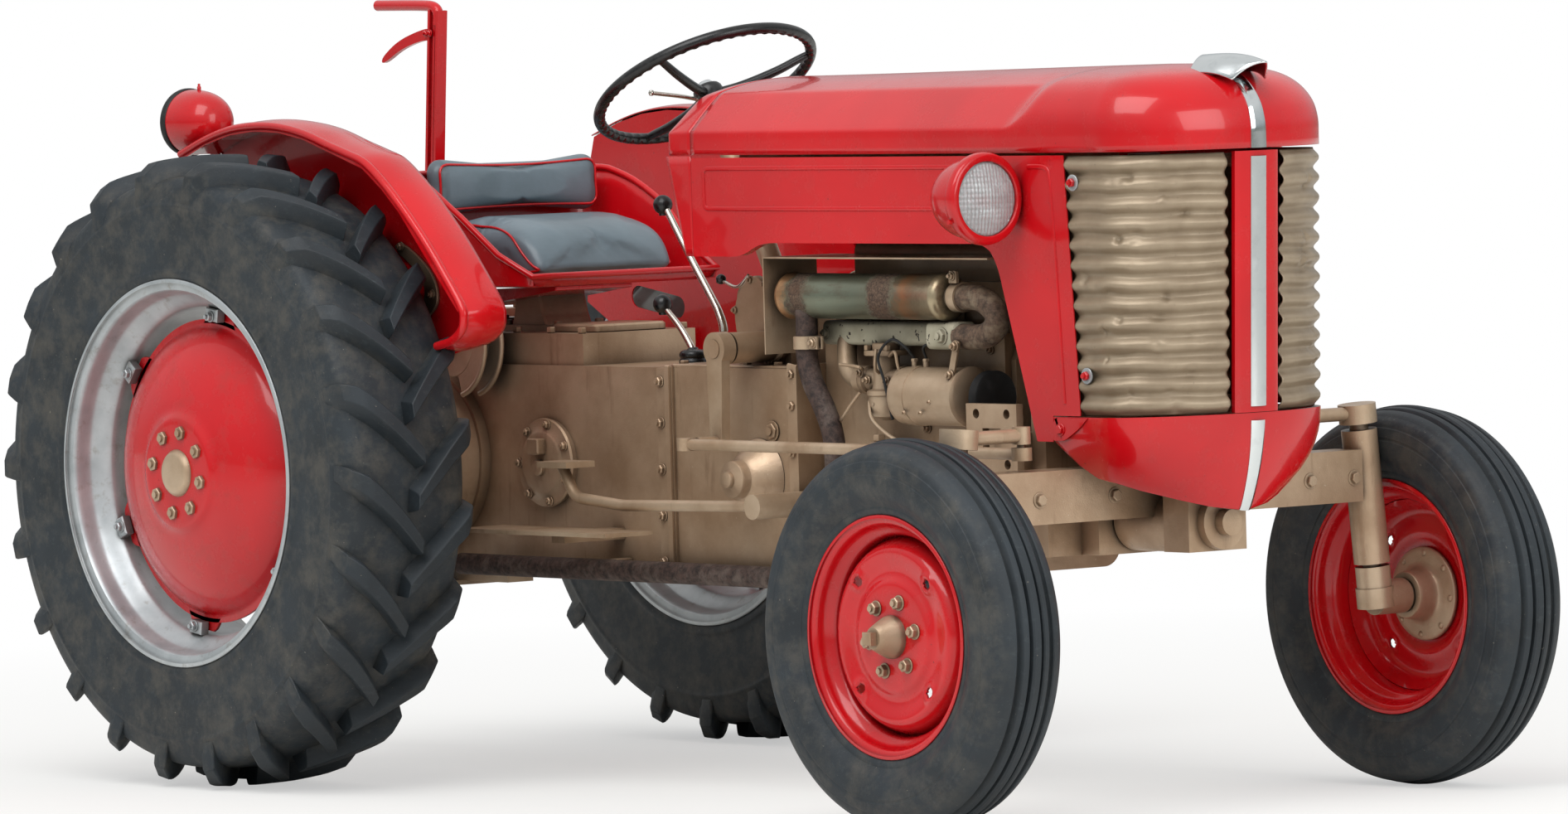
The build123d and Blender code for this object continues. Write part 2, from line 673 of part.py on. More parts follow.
# Bodywork
def hood_block(inset):
    """Outer form of the hood, drawn in from its surface by an inset."""
    half = BODY_HALF - inset
    top = HOOD_TOP_Z - inset
    nose = NOSE_X - inset
    plan = nose_plan(HOOD_REAR_X - 400, NOSE_START_X, nose, half)
    block = Pos(0, 0, SEAM_Z - 200) * extrude(plan, amount=600)
    section = front_plate(
        [
            (-half, SEAM_Z - 200),
            (-half, CREASE_Z - 4 - inset / 2),
            (-half + 6, CREASE_Z + 2 - inset / 2),
            (-176 + inset / 2, top - 36),
            (-140, top - 20),
            (-70, top - 8),
            (0, top - 4),
            (70, top - 8),
            (140, top - 20),
            (176 - inset / 2, top - 36),
            (half - 6, CREASE_Z + 2 - inset / 2),
            (half, CREASE_Z - 4 - inset / 2),
            (half, SEAM_Z - 200),
        ],
        HOOD_REAR_X - 400,
        WHEELBASE - 30,
    )
    full = front_plate(
        [
            (-half, SEAM_Z - 200),
            (-half, CREASE_Z + 18 - inset / 2),
            (-236 + inset / 2, top - 60),
            (-205 + inset / 2, top - 28),
            (-140, top - 10),
            (-70, top - 2),
            (0, top),
            (70, top - 2),
            (140, top - 10),
            (205 - inset / 2, top - 28),
            (236 - inset / 2, top - 60),
            (half, CREASE_Z + 18 - inset / 2),
            (half, SEAM_Z - 200),
        ],
        WHEELBASE - 70,
        NOSE_X + 10,
    )
    profile = side_plate(
        [
            (HOOD_REAR_X - 400, SEAM_Z - 200),
            (nose, SEAM_Z - 200),
            (nose, 1262),
            (nose - 6, 1290),
            (nose - 22, 1322),
            (nose - 52, 1350),
            (nose - 96, 1367 - inset),
            (nose - 150, 1375 - inset),
            (NOSE_X - 222, top),
            (HOOD_REAR_X, 1361 - inset),
            (HOOD_REAR_X - 40, 1352 - inset),
            (HOOD_REAR_X - 76, 1330 - inset),
            (HOOD_REAR_X - 400, 1330 - inset),
        ],
        -BODY_HALF - 10,
        BODY_HALF + 10,
    )
    return (section + full) & block & profile


def hood():
    """Lifting hood: a sheet from the seam to the nose."""
    return HOOD_SHELL & box(HOOD_REAR_X + 2, NOSE_X + 10, -300, 300, SEAM_Z + SEAM_GAP, 1500)


HOOD_CORE = hood_block(SHEET)
HOOD_SHELL = hood_block(0) - HOOD_CORE


def ornament():
    """Low winged ornament on the nose: a keel along the middle with a swept wing each side."""
    tail, tip = NOSE_X - 147, NOSE_X + 32
    keel = side_plate(
        [(tail, HOOD_TOP_Z - 26), (tail + 6, HOOD_TOP_Z + 5), (tail + 60, HOOD_TOP_Z + 13), (tip - 8, HOOD_TOP_Z + 15),
         (tip, HOOD_TOP_Z + 9), (tip - 14, HOOD_TOP_Z - 4), (NOSE_X - 40, HOOD_TOP_Z - 26)],
        -9,
        9,
    )
    wing = plan_plate(
        [(tip - 40, 0), (tip - 66, 30), (tail + 52, 54), (tail + 22, 54), (tail + 50, 0)], HOOD_TOP_Z, HOOD_TOP_Z + 6
    )
    whole = keel + wing + mirror(wing, about=Plane.XZ)
    return whole - hood_block(-SEAT_GAP)


def cowl():
    """Fixed scuttle behind the hood, with its dash closing the rear."""
    rear_cut = side_plate([(895, 1218), (950, 1026), (HOOD_REAR_X, 1026), (HOOD_REAR_X, 1400), (895, 1400)], -300, 300)
    shell = HOOD_SHELL & rear_cut
    dash = HOOD_CORE & side_plate(
        [(900, 1218), (953, 1035), (957, 1035), (904, 1218), (904, 1326), (900, 1326)], -300, 300
    )
    skirt = side_plate(
        [
            (HOOD_REAR_X - 30, 1216),
            (HOOD_REAR_X + 18, 1216),
            (HOOD_REAR_X + 18, 1030),
            (HOOD_REAR_X - 30, 1030),
        ],
        -BODY_HALF + SHEET,
        -BODY_HALF + 2 * SHEET,
    )
    bulkhead = box(HOOD_REAR_X + 8, HOOD_REAR_X + 12, -BODY_HALF + SHEET, BODY_HALF - SHEET, 1030, 1250)
    body = shell + dash + bulkhead
    for s in (-1, 1):
        body += box(HOOD_REAR_X + 8, HOOD_REAR_X + 28, s * 150, s * 172, 809, 1040)
    return body + skirt + mirror(skirt, about=Plane.XZ)


def side_panel():
    """Right side sheet with its deep leg beside the grille."""
    outline = [
        (HOOD_REAR_X + 1, 1213),
        (HOOD_REAR_X + 1, 1026),
        (1118, 1026),
        (1150, 1034),
        (1181, 1052),
        (WHEELBASE - 200, 1052),
        (WHEELBASE - 174, 1045),
        (WHEELBASE - 158, 1024),
        (WHEELBASE - 54, 688),
        (WHEELBASE - 9, 688),
        (WHEELBASE - 7, 737),
        (WHEELBASE + 71, 737),
        (WHEELBASE + 38, 1213),
    ]
    return side_plate(outline, -BODY_HALF, -BODY_HALF + SHEET)


def grille_sheet(inset):
    """Grille's leaning plan curve lofted from foot to top."""
    def curve(z, rear, front, start):
        return Pos(0, 0, z) * nose_plan(rear, start, front - inset, BODY_HALF - inset)
    foot = curve(GRILLE_FOOT_Z, WHEELBASE - 80, NOSE_X - GRILLE_LEAN - 2, NOSE_START_X - 9)
    top = curve(SEAM_Z - 2, WHEELBASE - 80, NOSE_X - 2, NOSE_START_X)
    return loft([foot, top], ruled=True)


def ridged_sheet(inset):
    """The grille's plan curve lofted through the crests and valleys of its ridges."""
    foot_z, top_z = GRILLE_FOOT_Z + 2, SEAM_Z - 3
    curves = []
    for i in range(2 * RIDGES + 1):
        up = i / (2 * RIDGES)
        back = inset + (RIDGE_DEPTH if i % 2 == 0 else 0)
        front = NOSE_X - 2 - GRILLE_LEAN * (1 - up) - back
        plan = nose_plan(WHEELBASE - 80, NOSE_START_X - 9 * (1 - up), front, BODY_HALF - back)
        curves.append(Pos(0, 0, foot_z + up * (top_z - foot_z)) * plan)
    return loft(curves, ruled=True)


def between(y0, y1):
    """The space ahead of the side panels' front edges, between two stations across the nose."""
    foot_z, top_z, beyond = GRILLE_FOOT_Z + 2, SEAM_Z - 3, NOSE_X + 78
    return side_plate(
        [(WHEELBASE + 72, foot_z), (WHEELBASE + 39, top_z), (beyond, top_z), (beyond, foot_z)], y0, y1
    )


def grille_half():
    """Right half of the corrugated grille, between the side panel and the centre bar."""
    sheet = ridged_sheet(0) - ridged_sheet(SHEET)
    return sheet & between(-BODY_HALF - 5, -BAR_HALF - 0.5)


RIDGES = 13
RIDGE_DEPTH = 11
BAR_HALF = 52
BAR_DEPTH = 12


def grille_bar():
    """Red centre bar of the grille."""
    return (grille_sheet(0) - grille_sheet(BAR_DEPTH)) & between(-BAR_HALF, BAR_HALF)


def chin():
    """Bowl under the grille, cut away behind for the axle."""
    def bowl(inset):
        rows = [
            (GRILLE_FOOT_Z, BODY_HALF, GRILLE_LEAN + 2, 9),
            (690, BODY_HALF - 1, GRILLE_LEAN + 5, 12),
            (645, BODY_HALF - 14, GRILLE_LEAN + 13, 30),
            (600, BODY_HALF - 54, GRILLE_LEAN + 27, 55),
            (556, BODY_HALF - 134, GRILLE_LEAN + 47, 70),
        ]
        faces = []
        for z, half, back, start_back in rows:
            plan = nose_plan(WHEELBASE - 130, NOSE_START_X - start_back, NOSE_X - back - inset, half - inset)
            faces.append(Pos(0, 0, z) * plan)
        slices = [loft([low, high]) for high, low in zip(faces, faces[1:])]
        whole = slices[0]
        for piece in slices[1:]:
            whole += piece
        return whole
    shell = bowl(0) - bowl(SHEET)
    x = WHEELBASE
    low = CHIN_BOTTOM_Z
    keep_zone = side_plate(
        [
            (x - 7, GRILLE_FOOT_Z - 1),
            (x - 7, 690),
            (x + 15, 672),
            (x + 64, 625),
            (x + 161, 594),
            (x + 227, low),
            (x + 370, low),
            (x + 370, GRILLE_FOOT_Z - 1),
        ],
        -300,
        300,
    )
    return shell & keep_zone


def radiator():
    """Radiator with its tanks, neck and the upright frame that the nose sheets bolt to."""
    x = WHEELBASE
    core = box(x - 50, x, -215, 215, 790, 1120) + box(x - 55, x, -215, 215, 1120, 1190)
    core += box(x - 55, x, -215, 215, 735, 790) + bar((x - 28, 0, 1190), (x - 28, 0, 1210), 30)
    inner = BODY_HALF - SHEET
    behind = inner - RIDGE_DEPTH
    for s in (-1, 1):
        core += box(x, x + 30, s * (inner - 27), s * inner, 700, 1205)
        core += box(x + 30, x + 82, s * (behind - 12), s * behind, 760, 1195)
    core += box(x, x + 30, -inner, inner, 735, 760) + box(x, x + 30, -inner, inner, 1180, 1205)
    rails = box(x + 30, NOSE_X + 8, -16, 16, 745, 757) + box(x + 30, NOSE_X + 8, -16, 16, 1190, 1202)
    return core - chin() + (rails & grille_sheet(BAR_DEPTH))


def fan():
    """Fan, its pulley, the crankshaft pulley and the belt between them."""
    hub = bar((COVER_X, 0, 900), (1850, 0, 900), 34) + bar((1748, 0, 900), (1772, 0, 900), 60)
    crank = bar((COVER_X, 0, 600), (1776, 0, 600), 40) + bar((1748, 0, 600), (1772, 0, 600), 78)
    blades = box(1830, 1842, -180, 180, 870, 930) + box(1830, 1842, -30, 30, 720, 1080)
    belt = front_plate([(-78, 600), (-60, 900), (60, 900), (78, 600)], 1754, 1766)
    belt -= front_plate([(-66, 600), (-48, 900), (48, 900), (66, 600)], 1750, 1770)
    return hub + crank + blades + belt


def fuel_tank():
    """Tank under the hood, on two saddles over the rocker cover."""
    tank = box(1010, 1740, -165, 165, 1085, 1285)
    tank = fillet(tank.edges().filter_by(Axis.X), 40)
    neck = bar((1500, 0, 1280), (1500, 0, 1330), 34)
    saddles = box(1300, 1340, -60, 60, 1050, 1085) + box(1640, 1680, -60, 60, 1050, 1085)
    return tank + neck + saddles


def muffler():
    """Silencer drum along the right side with its bend to the manifold."""
    drum = bar((1181, -190, 950), (1668, -190, 950), 43)
    bend = tube([(1668, -190, 950), (1775, -190, 950), (1775, -190, 878), (1690, -190, 878)], (30, 30), 25)
    return drum + bend


def manifold():
    """Exhaust manifold on the head's side, with its outlet elbow."""
    log = box(1248, 1605, -165, -120, 858, 900)
    log += box(1605, 1690, -205, -150, 852, 904)
    runners = [box(x, x + 50, -120, -105, 884, 935) for x in (1270, 1410, 1550)]
    for r in runners:
        log += r
    return log


def downpipe():
    """Pipe from the muffler's rear end down and back under the footplate, with its strap."""
    points = [(1250, -205, 920), (1250, -205, 820), (1325, -205, 700), (1325, -205, 413), (140, -205, 413)]
    return tube(points, (40, 50, 60), 21) + box(600, 622, -190, -150, 405, 421)


def heat_shield():
    """Sheet over the muffler, bent down behind it."""
    return box(1165, 1830, -240, -72, 1022, 1025) + box(1165, 1168, -240, -110, 840, 1022)


def headlamp():
    """Lamp bowl with its rim and glass, on a stem from the side panel."""
    x, y, z = WHEELBASE - 78, -340, 1138
    outline = [
        (x - 118, 0),
        (x - 114, 30),
        (x - 96, 56),
        (x - 62, 74),
        (x - 20, 80),
        (x - 18, 84),
        (x + 4, 84),
        (x + 6, 68),
        (x + 14, 60),
        (x + 18, 0),
    ]
    lamp = turned_x(outline, (0, y, z))
    stem = bar((x - 50, y + 40, z - 10), (x - 50, -BODY_HALF, z - 10), 16)
    foot = bar((x - 50, -BODY_HALF - 4, z - 10), (x - 50, -BODY_HALF, z - 10), 34)
    return lamp + stem + foot


def dynamo():
    """Generator beside the block with its pulley."""
    y, z = -178, 764
    body = bar((1510, y, z), (1706, y, z), 55)
    shaft = bar((1706, y, z), (1772, y, z), 12)
    pulley = bar((1748, y, z), (1772, y, z), 50)
    strap = box(1560, 1600, -140, -120, 740, 790)
    return body + shaft + pulley + strap


def carburettor():
    """Carburettor and intake pipe between the manifold and the dynamo."""
    bowl = bar((1440, -168, 720), (1440, -168, 770), 34) + bar((1440, -168, 765), (1440, -168, 840), 24)
    throat = bar((1380, -168, 792), (1500, -168, 792), 20)
    flange = box(1405, 1475, -200, -120, 830, 862)
    intake = tube([(1385, -168, 792), (1318, -168, 792), (1318, -145, 872)], (30,), 17)
    return bowl + throat + flange + intake


keep("hood", hood())
keep("cowl", cowl())
keep("side_panels", *both_sides(side_panel()))
keep("hood_ornament", ornament())
keep("grille", *both_sides(grille_half()))
keep("grille_bar", grille_bar())
keep("chin", chin())
keep("radiator", radiator())
keep("fan", fan())
keep("fuel_tank", fuel_tank())
keep("exhaust", muffler() + downpipe())
keep("manifold", manifold() + carburettor())
keep("heat_shield", heat_shield())
keep("dynamo", dynamo())
keep("headlamps", *both_sides(headlamp()))


# Driver's place
def column_point(t):
    """A point on the steering column, t below the wheel's plane."""
    a = math.radians(WHEEL_TILT)
    return (WHEEL_X + t * math.sin(a), 0, WHEEL_Z - t * math.cos(a))


def steering_wheel():
    """Rim, three spokes and hub, square to the column."""
    plane = Plane(origin=column_point(0), x_dir=(0, 1, 0), z_dir=Vector(*column_point(-1)) - Vector(*column_point(0)))
    ring = Torus(WHEEL_RING_R, WHEEL_RING_WIRE_R)
    hub = Pos(0, 0, -30) * Cylinder(30, 52)
    wheel = ring + hub + Pos(0, 0, -85) * Cylinder(WHEEL_SHAFT_R, 70)
    for a in (90, 210, 330):
        tip = (WHEEL_RING_R * math.cos(math.radians(a)), WHEEL_RING_R * math.sin(math.radians(a)), 0)
        foot = (20 * math.cos(math.radians(a)), 20 * math.sin(math.radians(a)), -30)
        wheel += bar(foot, tip, 8)
    return plane.location * wheel


def steering_box():
    """Box on the clutch housing with its cross shaft and the column tube."""
    case = box(921, 1082, -110, 110, 809, 979)
    z = DROP_ARM_TOP_Z
    reach = DROP_ARM_Y - RUNNING_GAP
    case = fillet(case.edges().filter_by(Axis.X).group_by(Axis.Z)[-1], 40)
    boss = bar((DROP_ARM_X, -reach, z), (DROP_ARM_X, reach, z), 30)
    for s in (-1, 1):
        case += bar((DROP_ARM_X - 4, s * 100, z), (DROP_ARM_X - 4, s * 124, z), 40)
        case += bar((975, s * 100, 940), (975, s * 124, 940), 30)
        case += side_plate([(953, 919), (997, 960), (1062, 880), (1010, 821)], s * 100, s * 124)
    shaft = bar((DROP_ARM_X, -reach - 38, z), (DROP_ARM_X, reach + 38, z), CROSS_SHAFT_R)
    column = bar(column_point(62), column_point(455), 22)
    column -= bar(column_point(50), column_point(130), WHEEL_SHAFT_R + PIN_GAP)
    return case + boss + shaft + column


def gear_levers():
    """Two cranked levers with knobs and rubber boots, on the gearbox lid."""
    y = -60
    main = tube([(812, y, 845), (760, y, 965), (634, y, 1100)], (60,), 8) + Pos(634, y, 1113) * Sphere(19)
    main += Pos(812, y, 833) * Cylinder(30, 48)
    short = bar((725, y - 10, 821), (630, y - 10, 920), 8) + Pos(625, y - 10, 926) * Sphere(19)
    short += Pos(725, y - 10, 821) * Cylinder(26, 30)
    return main, short


def seat_pan():
    """Bucket with rolled sides that rise to the back."""
    side = side_plate(
        [(40, 1188), (70, 1188), (150, 1110), (300, 1010), (430, 985), (430, 962), (40, 962)], -236, -230
    )
    base = box(40, 430, -230, 230, 962, 968)
    back = box(34, 40, -236, 236, 962, 1188)
    lip = box(424, 430, -230, 230, 968, 985)
    edge = [(33, -236, 1184), (70, -236, 1184), (150, -236, 1106), (300, -236, 1006), (427, -236, 982)]
    rim = tube(edge, (20, 60, 60), 7)
    pan = base + side + mirror(side, about=Plane.XZ) + back + lip + rim + mirror(rim, about=Plane.XZ)
    pan += bar((33, -236, 1184), (33, 236, 1184), 7) + bar((427, -236, 982), (427, 236, 982), 7)
    return pan + box(120, 260, -70, 70, 868, 962)


def cushion():
    """Seat cushion with rounded edges."""
    block = box(46, 418, -224, 224, 968, 1090)
    return fillet(block.edges(), 30)


def back_cushion():
    """Back cushion against the pan's rear."""
    block = box(40, 106, -226, 226, 1091, 1226)
    return fillet(block.edges(), 28)


FENDER_R = REAR_TYRE_R + 52
FENDER_IN_Y = 470
FENDER_LIP_Y = 560
LAMP_ANGLE = 115.1


def arc_points(radius, start, stop, count):
    """Points of an arc about the rear axle, angles measured up from straight ahead."""
    points = []
    for i in range(count + 1):
        a = math.radians(start + (stop - start) * i / count)
        points.append((radius * math.cos(a), AXLE_Z + radius * math.sin(a)))
    return points


def fender():
    """Upright plate beside the tyre with a crown over the tread and a rolled lip."""
    outer = [(560, 860), (640, 893), (646, 941)] + arc_points(FENDER_R + 18, 48, 60, 2) + arc_points(FENDER_R, 70, 113, 6)
    plate = side_plate(outer + [(-290, 1150), (-300, 900), (-120, 800), (330, 800), (470, 840)], -FENDER_IN_Y, -FENDER_IN_Y + SHEET)
    slot = bar((-130, -FENDER_IN_Y - 9, 912), (-130, -FENDER_IN_Y + 9, 912), 22)
    slot += bar((0, -FENDER_IN_Y - 9, 891), (0, -FENDER_IN_Y + 9, 891), 22)
    slot += side_plate([(-126, 934), (4, 913), (-4, 869), (-134, 890)], -FENDER_IN_Y - 9, -FENDER_IN_Y + 9)
    inner = [(x * 0.995, z - 3) for x, z in reversed(outer[2:])]
    crown = side_plate(outer[2:] + inner, -FENDER_IN_Y, -FENDER_LIP_Y)
    lip = side_plate(outer[2:] + [(x * 0.985, z - 11) for x, z in reversed(outer[2:])], -FENDER_LIP_Y, -FENDER_LIP_Y - 8)
    bracket = box(-40, 40, -FENDER_IN_Y + SHEET, -FENDER_IN_Y + 43, 660, 850) - axle_trumpet()
    return (plate - axle_trumpet() - slot) + crown + lip + bracket


def rear_lamp():
    """Work lamp on the right fender, facing back: a bowl with its rim, stem and tab."""
    x, z = arc_points(FENDER_R + 78, LAMP_ANGLE, LAMP_ANGLE, 1)[0]
    y = -505
    bowl = [(x - 14, 0), (x - 12, 62), (x - 10, 65), (x + 2, 65), (x + 4, 62), (x + 30, 60), (x + 60, 50),
            (x + 84, 36), (x + 100, 18), (x + 105, 0)]
    tab = box(x + 22, x + 52, -FENDER_IN_Y - 6, -FENDER_IN_Y, z - 149, z - 9)
    stem = bar((x + 43, y, z - 24), (x + 43, -FENDER_IN_Y, z - 24), 10)
    return turned_x(bowl, (0, y, z)) + tab + stem


def quadrant():
    """Two slotted arcs beside the lift cover."""
    plates = []
    for y in (-172, -214):
        disc = bar((150, y, 848), (150, y - 8, 848), 105) - box(0, 120, y + 2, y - 10, 700, 1000)
        plates.append(disc)
    spacer = bar((200, -140, 840), (200, -222, 840), 22)
    return plates[0] + plates[1] + spacer


def pedal():
    """Pedal with its arm, low on the right."""
    arm = tube([(1225, -300, 556), (790, -300, 548), (640, -300, 560), (600, -300, 622)], (40, 40), 11)
    pad = box(565, 658, -335, -265, 618, 630)
    boss = bar((1225, -330, 556), (1225, -150, 556), 24)
    return arm + pad + boss


def footrest():
    """Step plate outboard of the gearbox with its hanger."""
    plate = box(385, 860, -400, -285, 492, 500)
    hanger = box(560, 600, -300, -150, 470, 492)
    return plate + hanger


def tall_lever():
    """Tall hand lever behind the seat with its grip and squeeze trigger."""
    stem = side_plate([(-225, 905), (-195, 905), (-140, 1520), (-166, 1520)], -8, 8)
    grip = bar((-148, 0, 1512), (-355, 0, 1520), 12)
    trigger = side_plate([(-170, 1470), (-178, 1455), (-345, 1408), (-350, 1414), (-240, 1462)], -5, 5)
    return stem + grip + trigger


keep("steering_wheel", steering_wheel())
keep("steering_box", steering_box())
keep("hand_levers", *gear_levers(), tall_lever())
keep("seat_pan", seat_pan())
keep("seat_cushion", cushion())
keep("back_cushion", back_cushion())
keep("fenders", *both_sides(fender()))
keep("rear_lamp", rear_lamp())
keep("quadrant", quadrant())
keep("pedals", *both_sides(pedal()))
keep("footrests", *both_sides(footrest()))

os.makedirs("parts", exist_ok=True)
for name, solids in NODES.items():
    export_step(Compound(children=solids), f"parts/{name}.step")
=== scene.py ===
import math

import bmesh
import bpy
import numpy as np
from mathutils import Matrix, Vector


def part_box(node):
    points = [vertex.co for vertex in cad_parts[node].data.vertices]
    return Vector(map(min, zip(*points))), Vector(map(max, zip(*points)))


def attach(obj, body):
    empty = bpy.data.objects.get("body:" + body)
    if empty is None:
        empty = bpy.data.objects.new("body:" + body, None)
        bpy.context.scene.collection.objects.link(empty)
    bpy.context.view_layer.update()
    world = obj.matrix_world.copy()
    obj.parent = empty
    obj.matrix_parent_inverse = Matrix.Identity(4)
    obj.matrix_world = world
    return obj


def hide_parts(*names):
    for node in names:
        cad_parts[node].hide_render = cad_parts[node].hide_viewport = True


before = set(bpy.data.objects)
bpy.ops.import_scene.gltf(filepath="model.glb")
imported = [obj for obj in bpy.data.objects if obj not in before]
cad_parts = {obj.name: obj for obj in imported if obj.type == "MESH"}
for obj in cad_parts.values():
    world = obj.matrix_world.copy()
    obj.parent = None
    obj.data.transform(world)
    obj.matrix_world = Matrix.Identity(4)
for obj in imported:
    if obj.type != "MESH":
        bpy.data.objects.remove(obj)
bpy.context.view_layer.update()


# The photograph's view
# A long lens about nineteen metres away, a little above the hood, off the right front corner.
# Its lens and place were solved from the outlines of the four wheels.

camera_data = bpy.data.cameras.new("camera")
camera_data.sensor_width = 36.0
camera_data.lens = 229.8
camera_data.clip_start, camera_data.clip_end = 1.0, 200.0
camera = bpy.data.objects.new("camera", camera_data)
bpy.context.scene.collection.objects.link(camera)
bpy.context.scene.camera = camera
camera_right = (0.62572187, 0.77951658, -0.0287409)
camera_up = (-0.01514408, 0.04897791, 0.99868505)
camera_back = (0.77989922, -0.62446382, 0.04245161)
camera_place = (15.182445, -12.072866, 1.545507)
rows = [[camera_right[i], camera_up[i], camera_back[i], camera_place[i]] for i in range(3)]
camera.matrix_world = Matrix(rows + [[0, 0, 0, 1]])


# Floor and light
# A pale matt floor that fades to white a few metres out, in a white room. The paint mirrors a darker ground
# and a bright sky.
# Two large soft lamps stand for the overcast sky of the photograph.


def linear(colour, alpha=1.0):
    """sRGB hex to linear: c/12.92 up to 0.04045, and ((c + 0.055)/1.055) to the power 2.4 above."""
    values = []
    for i in (1, 3, 5):
        c = int(colour[i : i + 2], 16) / 255
        values.append(c / 12.92 if c <= 0.04045 else ((c + 0.055) / 1.055) ** 2.4)
    return (*values, alpha)


def add(tree, kind, inputs=None, **settings):
    """Adds one node with its settings. An input given as a socket is linked, and any other is a value."""
    node = tree.nodes.new(kind)
    for key, value in settings.items():
        setattr(node, key, value)
    for key, value in (inputs or {}).items():
        if isinstance(value, bpy.types.NodeSocket):
            tree.links.new(value, node.inputs[key])
        else:
            node.inputs[key].default_value = value
    return node


def ramp(tree, factor, stops):
    """A colour band read at a factor, from stops of (position, hex colour)."""
    node = add(tree, "ShaderNodeValToRGB", {"Fac": factor})
    elements = node.color_ramp.elements
    while len(elements) < len(stops):
        elements.new(0.5)
    for element, (position, colour) in zip(elements, stops):
        element.position = position
        element.color = linear(colour)
    return node.outputs["Color"]


def start_material(name):
    """An empty node material and its tree."""
    material = bpy.data.materials.new(name)
    material.use_nodes = True
    material.node_tree.nodes.clear()
    return material, material.node_tree


floor_paint, tree = start_material("pale matt floor paint")
shader = add(
    tree,
    "ShaderNodeBsdfPrincipled",
    {"Base Color": linear("#efeeea"), "Roughness": 0.92, "Specular IOR Level": 0.15},
)
white = add(tree, "ShaderNodeEmission", {"Color": (1.0, 1.0, 1.0, 1.0), "Strength": 1.0})
rays = add(tree, "ShaderNodeLightPath")
place = add(tree, "ShaderNodeTexCoord").outputs["Object"]
far = add(tree, "ShaderNodeVectorMath", {0: place}, operation="LENGTH").outputs["Value"]
fade = add(tree, "ShaderNodeMapRange", {"Value": far, "From Min": 1.6, "From Max": 5.0, "To Min": 0.5})
shares = {0: fade.outputs["Result"], 1: rays.outputs["Is Camera Ray"]}
seen = add(tree, "ShaderNodeMath", shares, operation="MULTIPLY")
surface = add(
    tree,
    "ShaderNodeMixShader",
    {"Fac": seen.outputs["Value"], 1: shader.outputs["BSDF"], 2: white.outputs["Emission"]},
)
add(tree, "ShaderNodeOutputMaterial", {"Surface": surface.outputs["Shader"]})

floor_mesh = bpy.data.meshes.new("floor")
floor_mesh.from_pydata([(-60, -60, 0), (60, -60, 0), (60, 60, 0), (-60, 60, 0)], [], [(0, 1, 2, 3)])
floor_mesh.materials.append(floor_paint)
floor = bpy.data.objects.new("floor", floor_mesh)
bpy.context.scene.collection.objects.link(floor)

world = bpy.data.worlds.new("overcast room")
bpy.context.scene.world = world
world.use_nodes = True
tree = world.node_tree
tree.nodes.clear()
rays = add(tree, "ShaderNodeLightPath")
direction = add(tree, "ShaderNodeTexCoord")
height = add(tree, "ShaderNodeSeparateXYZ", {"Vector": direction.outputs["Generated"]})
level = add(tree, "ShaderNodeMapRange", {"Value": height.outputs["Z"], "From Min": -1.0, "From Max": 1.0})
sky = ramp(
    tree,
    level.outputs["Result"],
    [(0.46, "#77756c"), (0.505, "#8f938e"), (0.56, "#c9d0d3"), (0.75, "#ffffff")],
)
soft_sky = add(tree, "ShaderNodeBackground", {"Color": sky, "Strength": 0.78})
white = add(tree, "ShaderNodeBackground", {"Color": (1.0, 1.0, 1.0, 1.0), "Strength": 1.0})
seen = add(
    tree,
    "ShaderNodeMixShader",
    {"Fac": rays.outputs["Is Camera Ray"], 1: soft_sky.outputs["Background"], 2: white.outputs["Background"]},
)
add(tree, "ShaderNodeOutputWorld", {"Surface": seen.outputs["Shader"]})


def soft_lamp(name, place, target, size, watts):
    """A square soft lamp that looks from its place to a target."""
    data = bpy.data.lights.new(name, "AREA")
    data.shape = "SQUARE"
    data.size = size
    data.energy = watts
    lamp = bpy.data.objects.new(name, data)
    bpy.context.scene.collection.objects.link(lamp)
    back = np.subtract(place, target) / np.linalg.norm(np.subtract(place, target))
    side = np.cross((0, 0, 1), back)
    side /= np.linalg.norm(side)
    above = np.cross(back, side)
    lamp.matrix_world = Matrix([[side[i], above[i], back[i], place[i]] for i in range(3)] + [[0, 0, 0, 1]])


soft_lamp("high_lamp", (2.5, -4.5, 7.5), (0.2, 0.0, 0.7), 6.0, 420)
soft_lamp("front_lamp", (8.5, 0.5, 3.6), (0.8, 0.0, 0.8), 4.0, 170)


# Paints and metals on the driveline
# The cast-iron housings, engine and axles were sprayed bronze over their sand-cast skin.
# Their corners are darkened by painted shade, and rust runs down from a few joints.


def object_noise(tree, millimetres, detail=3.0, roughness=0.55, stretch=(1, 1, 1)):
    """Noise on Object coordinates whose features are about so many millimetres across."""
    place = add(tree, "ShaderNodeTexCoord").outputs["Object"]
    scale = tuple(1 / s for s in stretch)
    mapped = add(tree, "ShaderNodeMapping", {"Vector": place, "Scale": scale})
    inputs = {"Vector": mapped.outputs["Vector"], "Scale": 1000 / millimetres}
    inputs |= {"Detail": detail, "Roughness": roughness}
    return add(tree, "ShaderNodeTexNoise", inputs).outputs["Fac"]


def mask(tree, value, low, high, most=1.0, least=0.0):
    """A value stretched so that low gives the least and high gives the most."""
    inputs = {"Value": value, "From Min": low, "From Max": high, "To Min": least, "To Max": most}
    return add(tree, "ShaderNodeMapRange", inputs).outputs["Result"]


def blend_colours(tree, factor, under, over):
    """One colour laid over another where a factor is high."""
    node = add(tree, "ShaderNodeMix", {0: factor}, data_type="RGBA")
    for socket, colour in ((6, under), (7, over)):
        if isinstance(colour, str):
            node.inputs[socket].default_value = linear(colour)
        else:
            tree.links.new(colour, node.inputs[socket])
    return node.outputs[2]


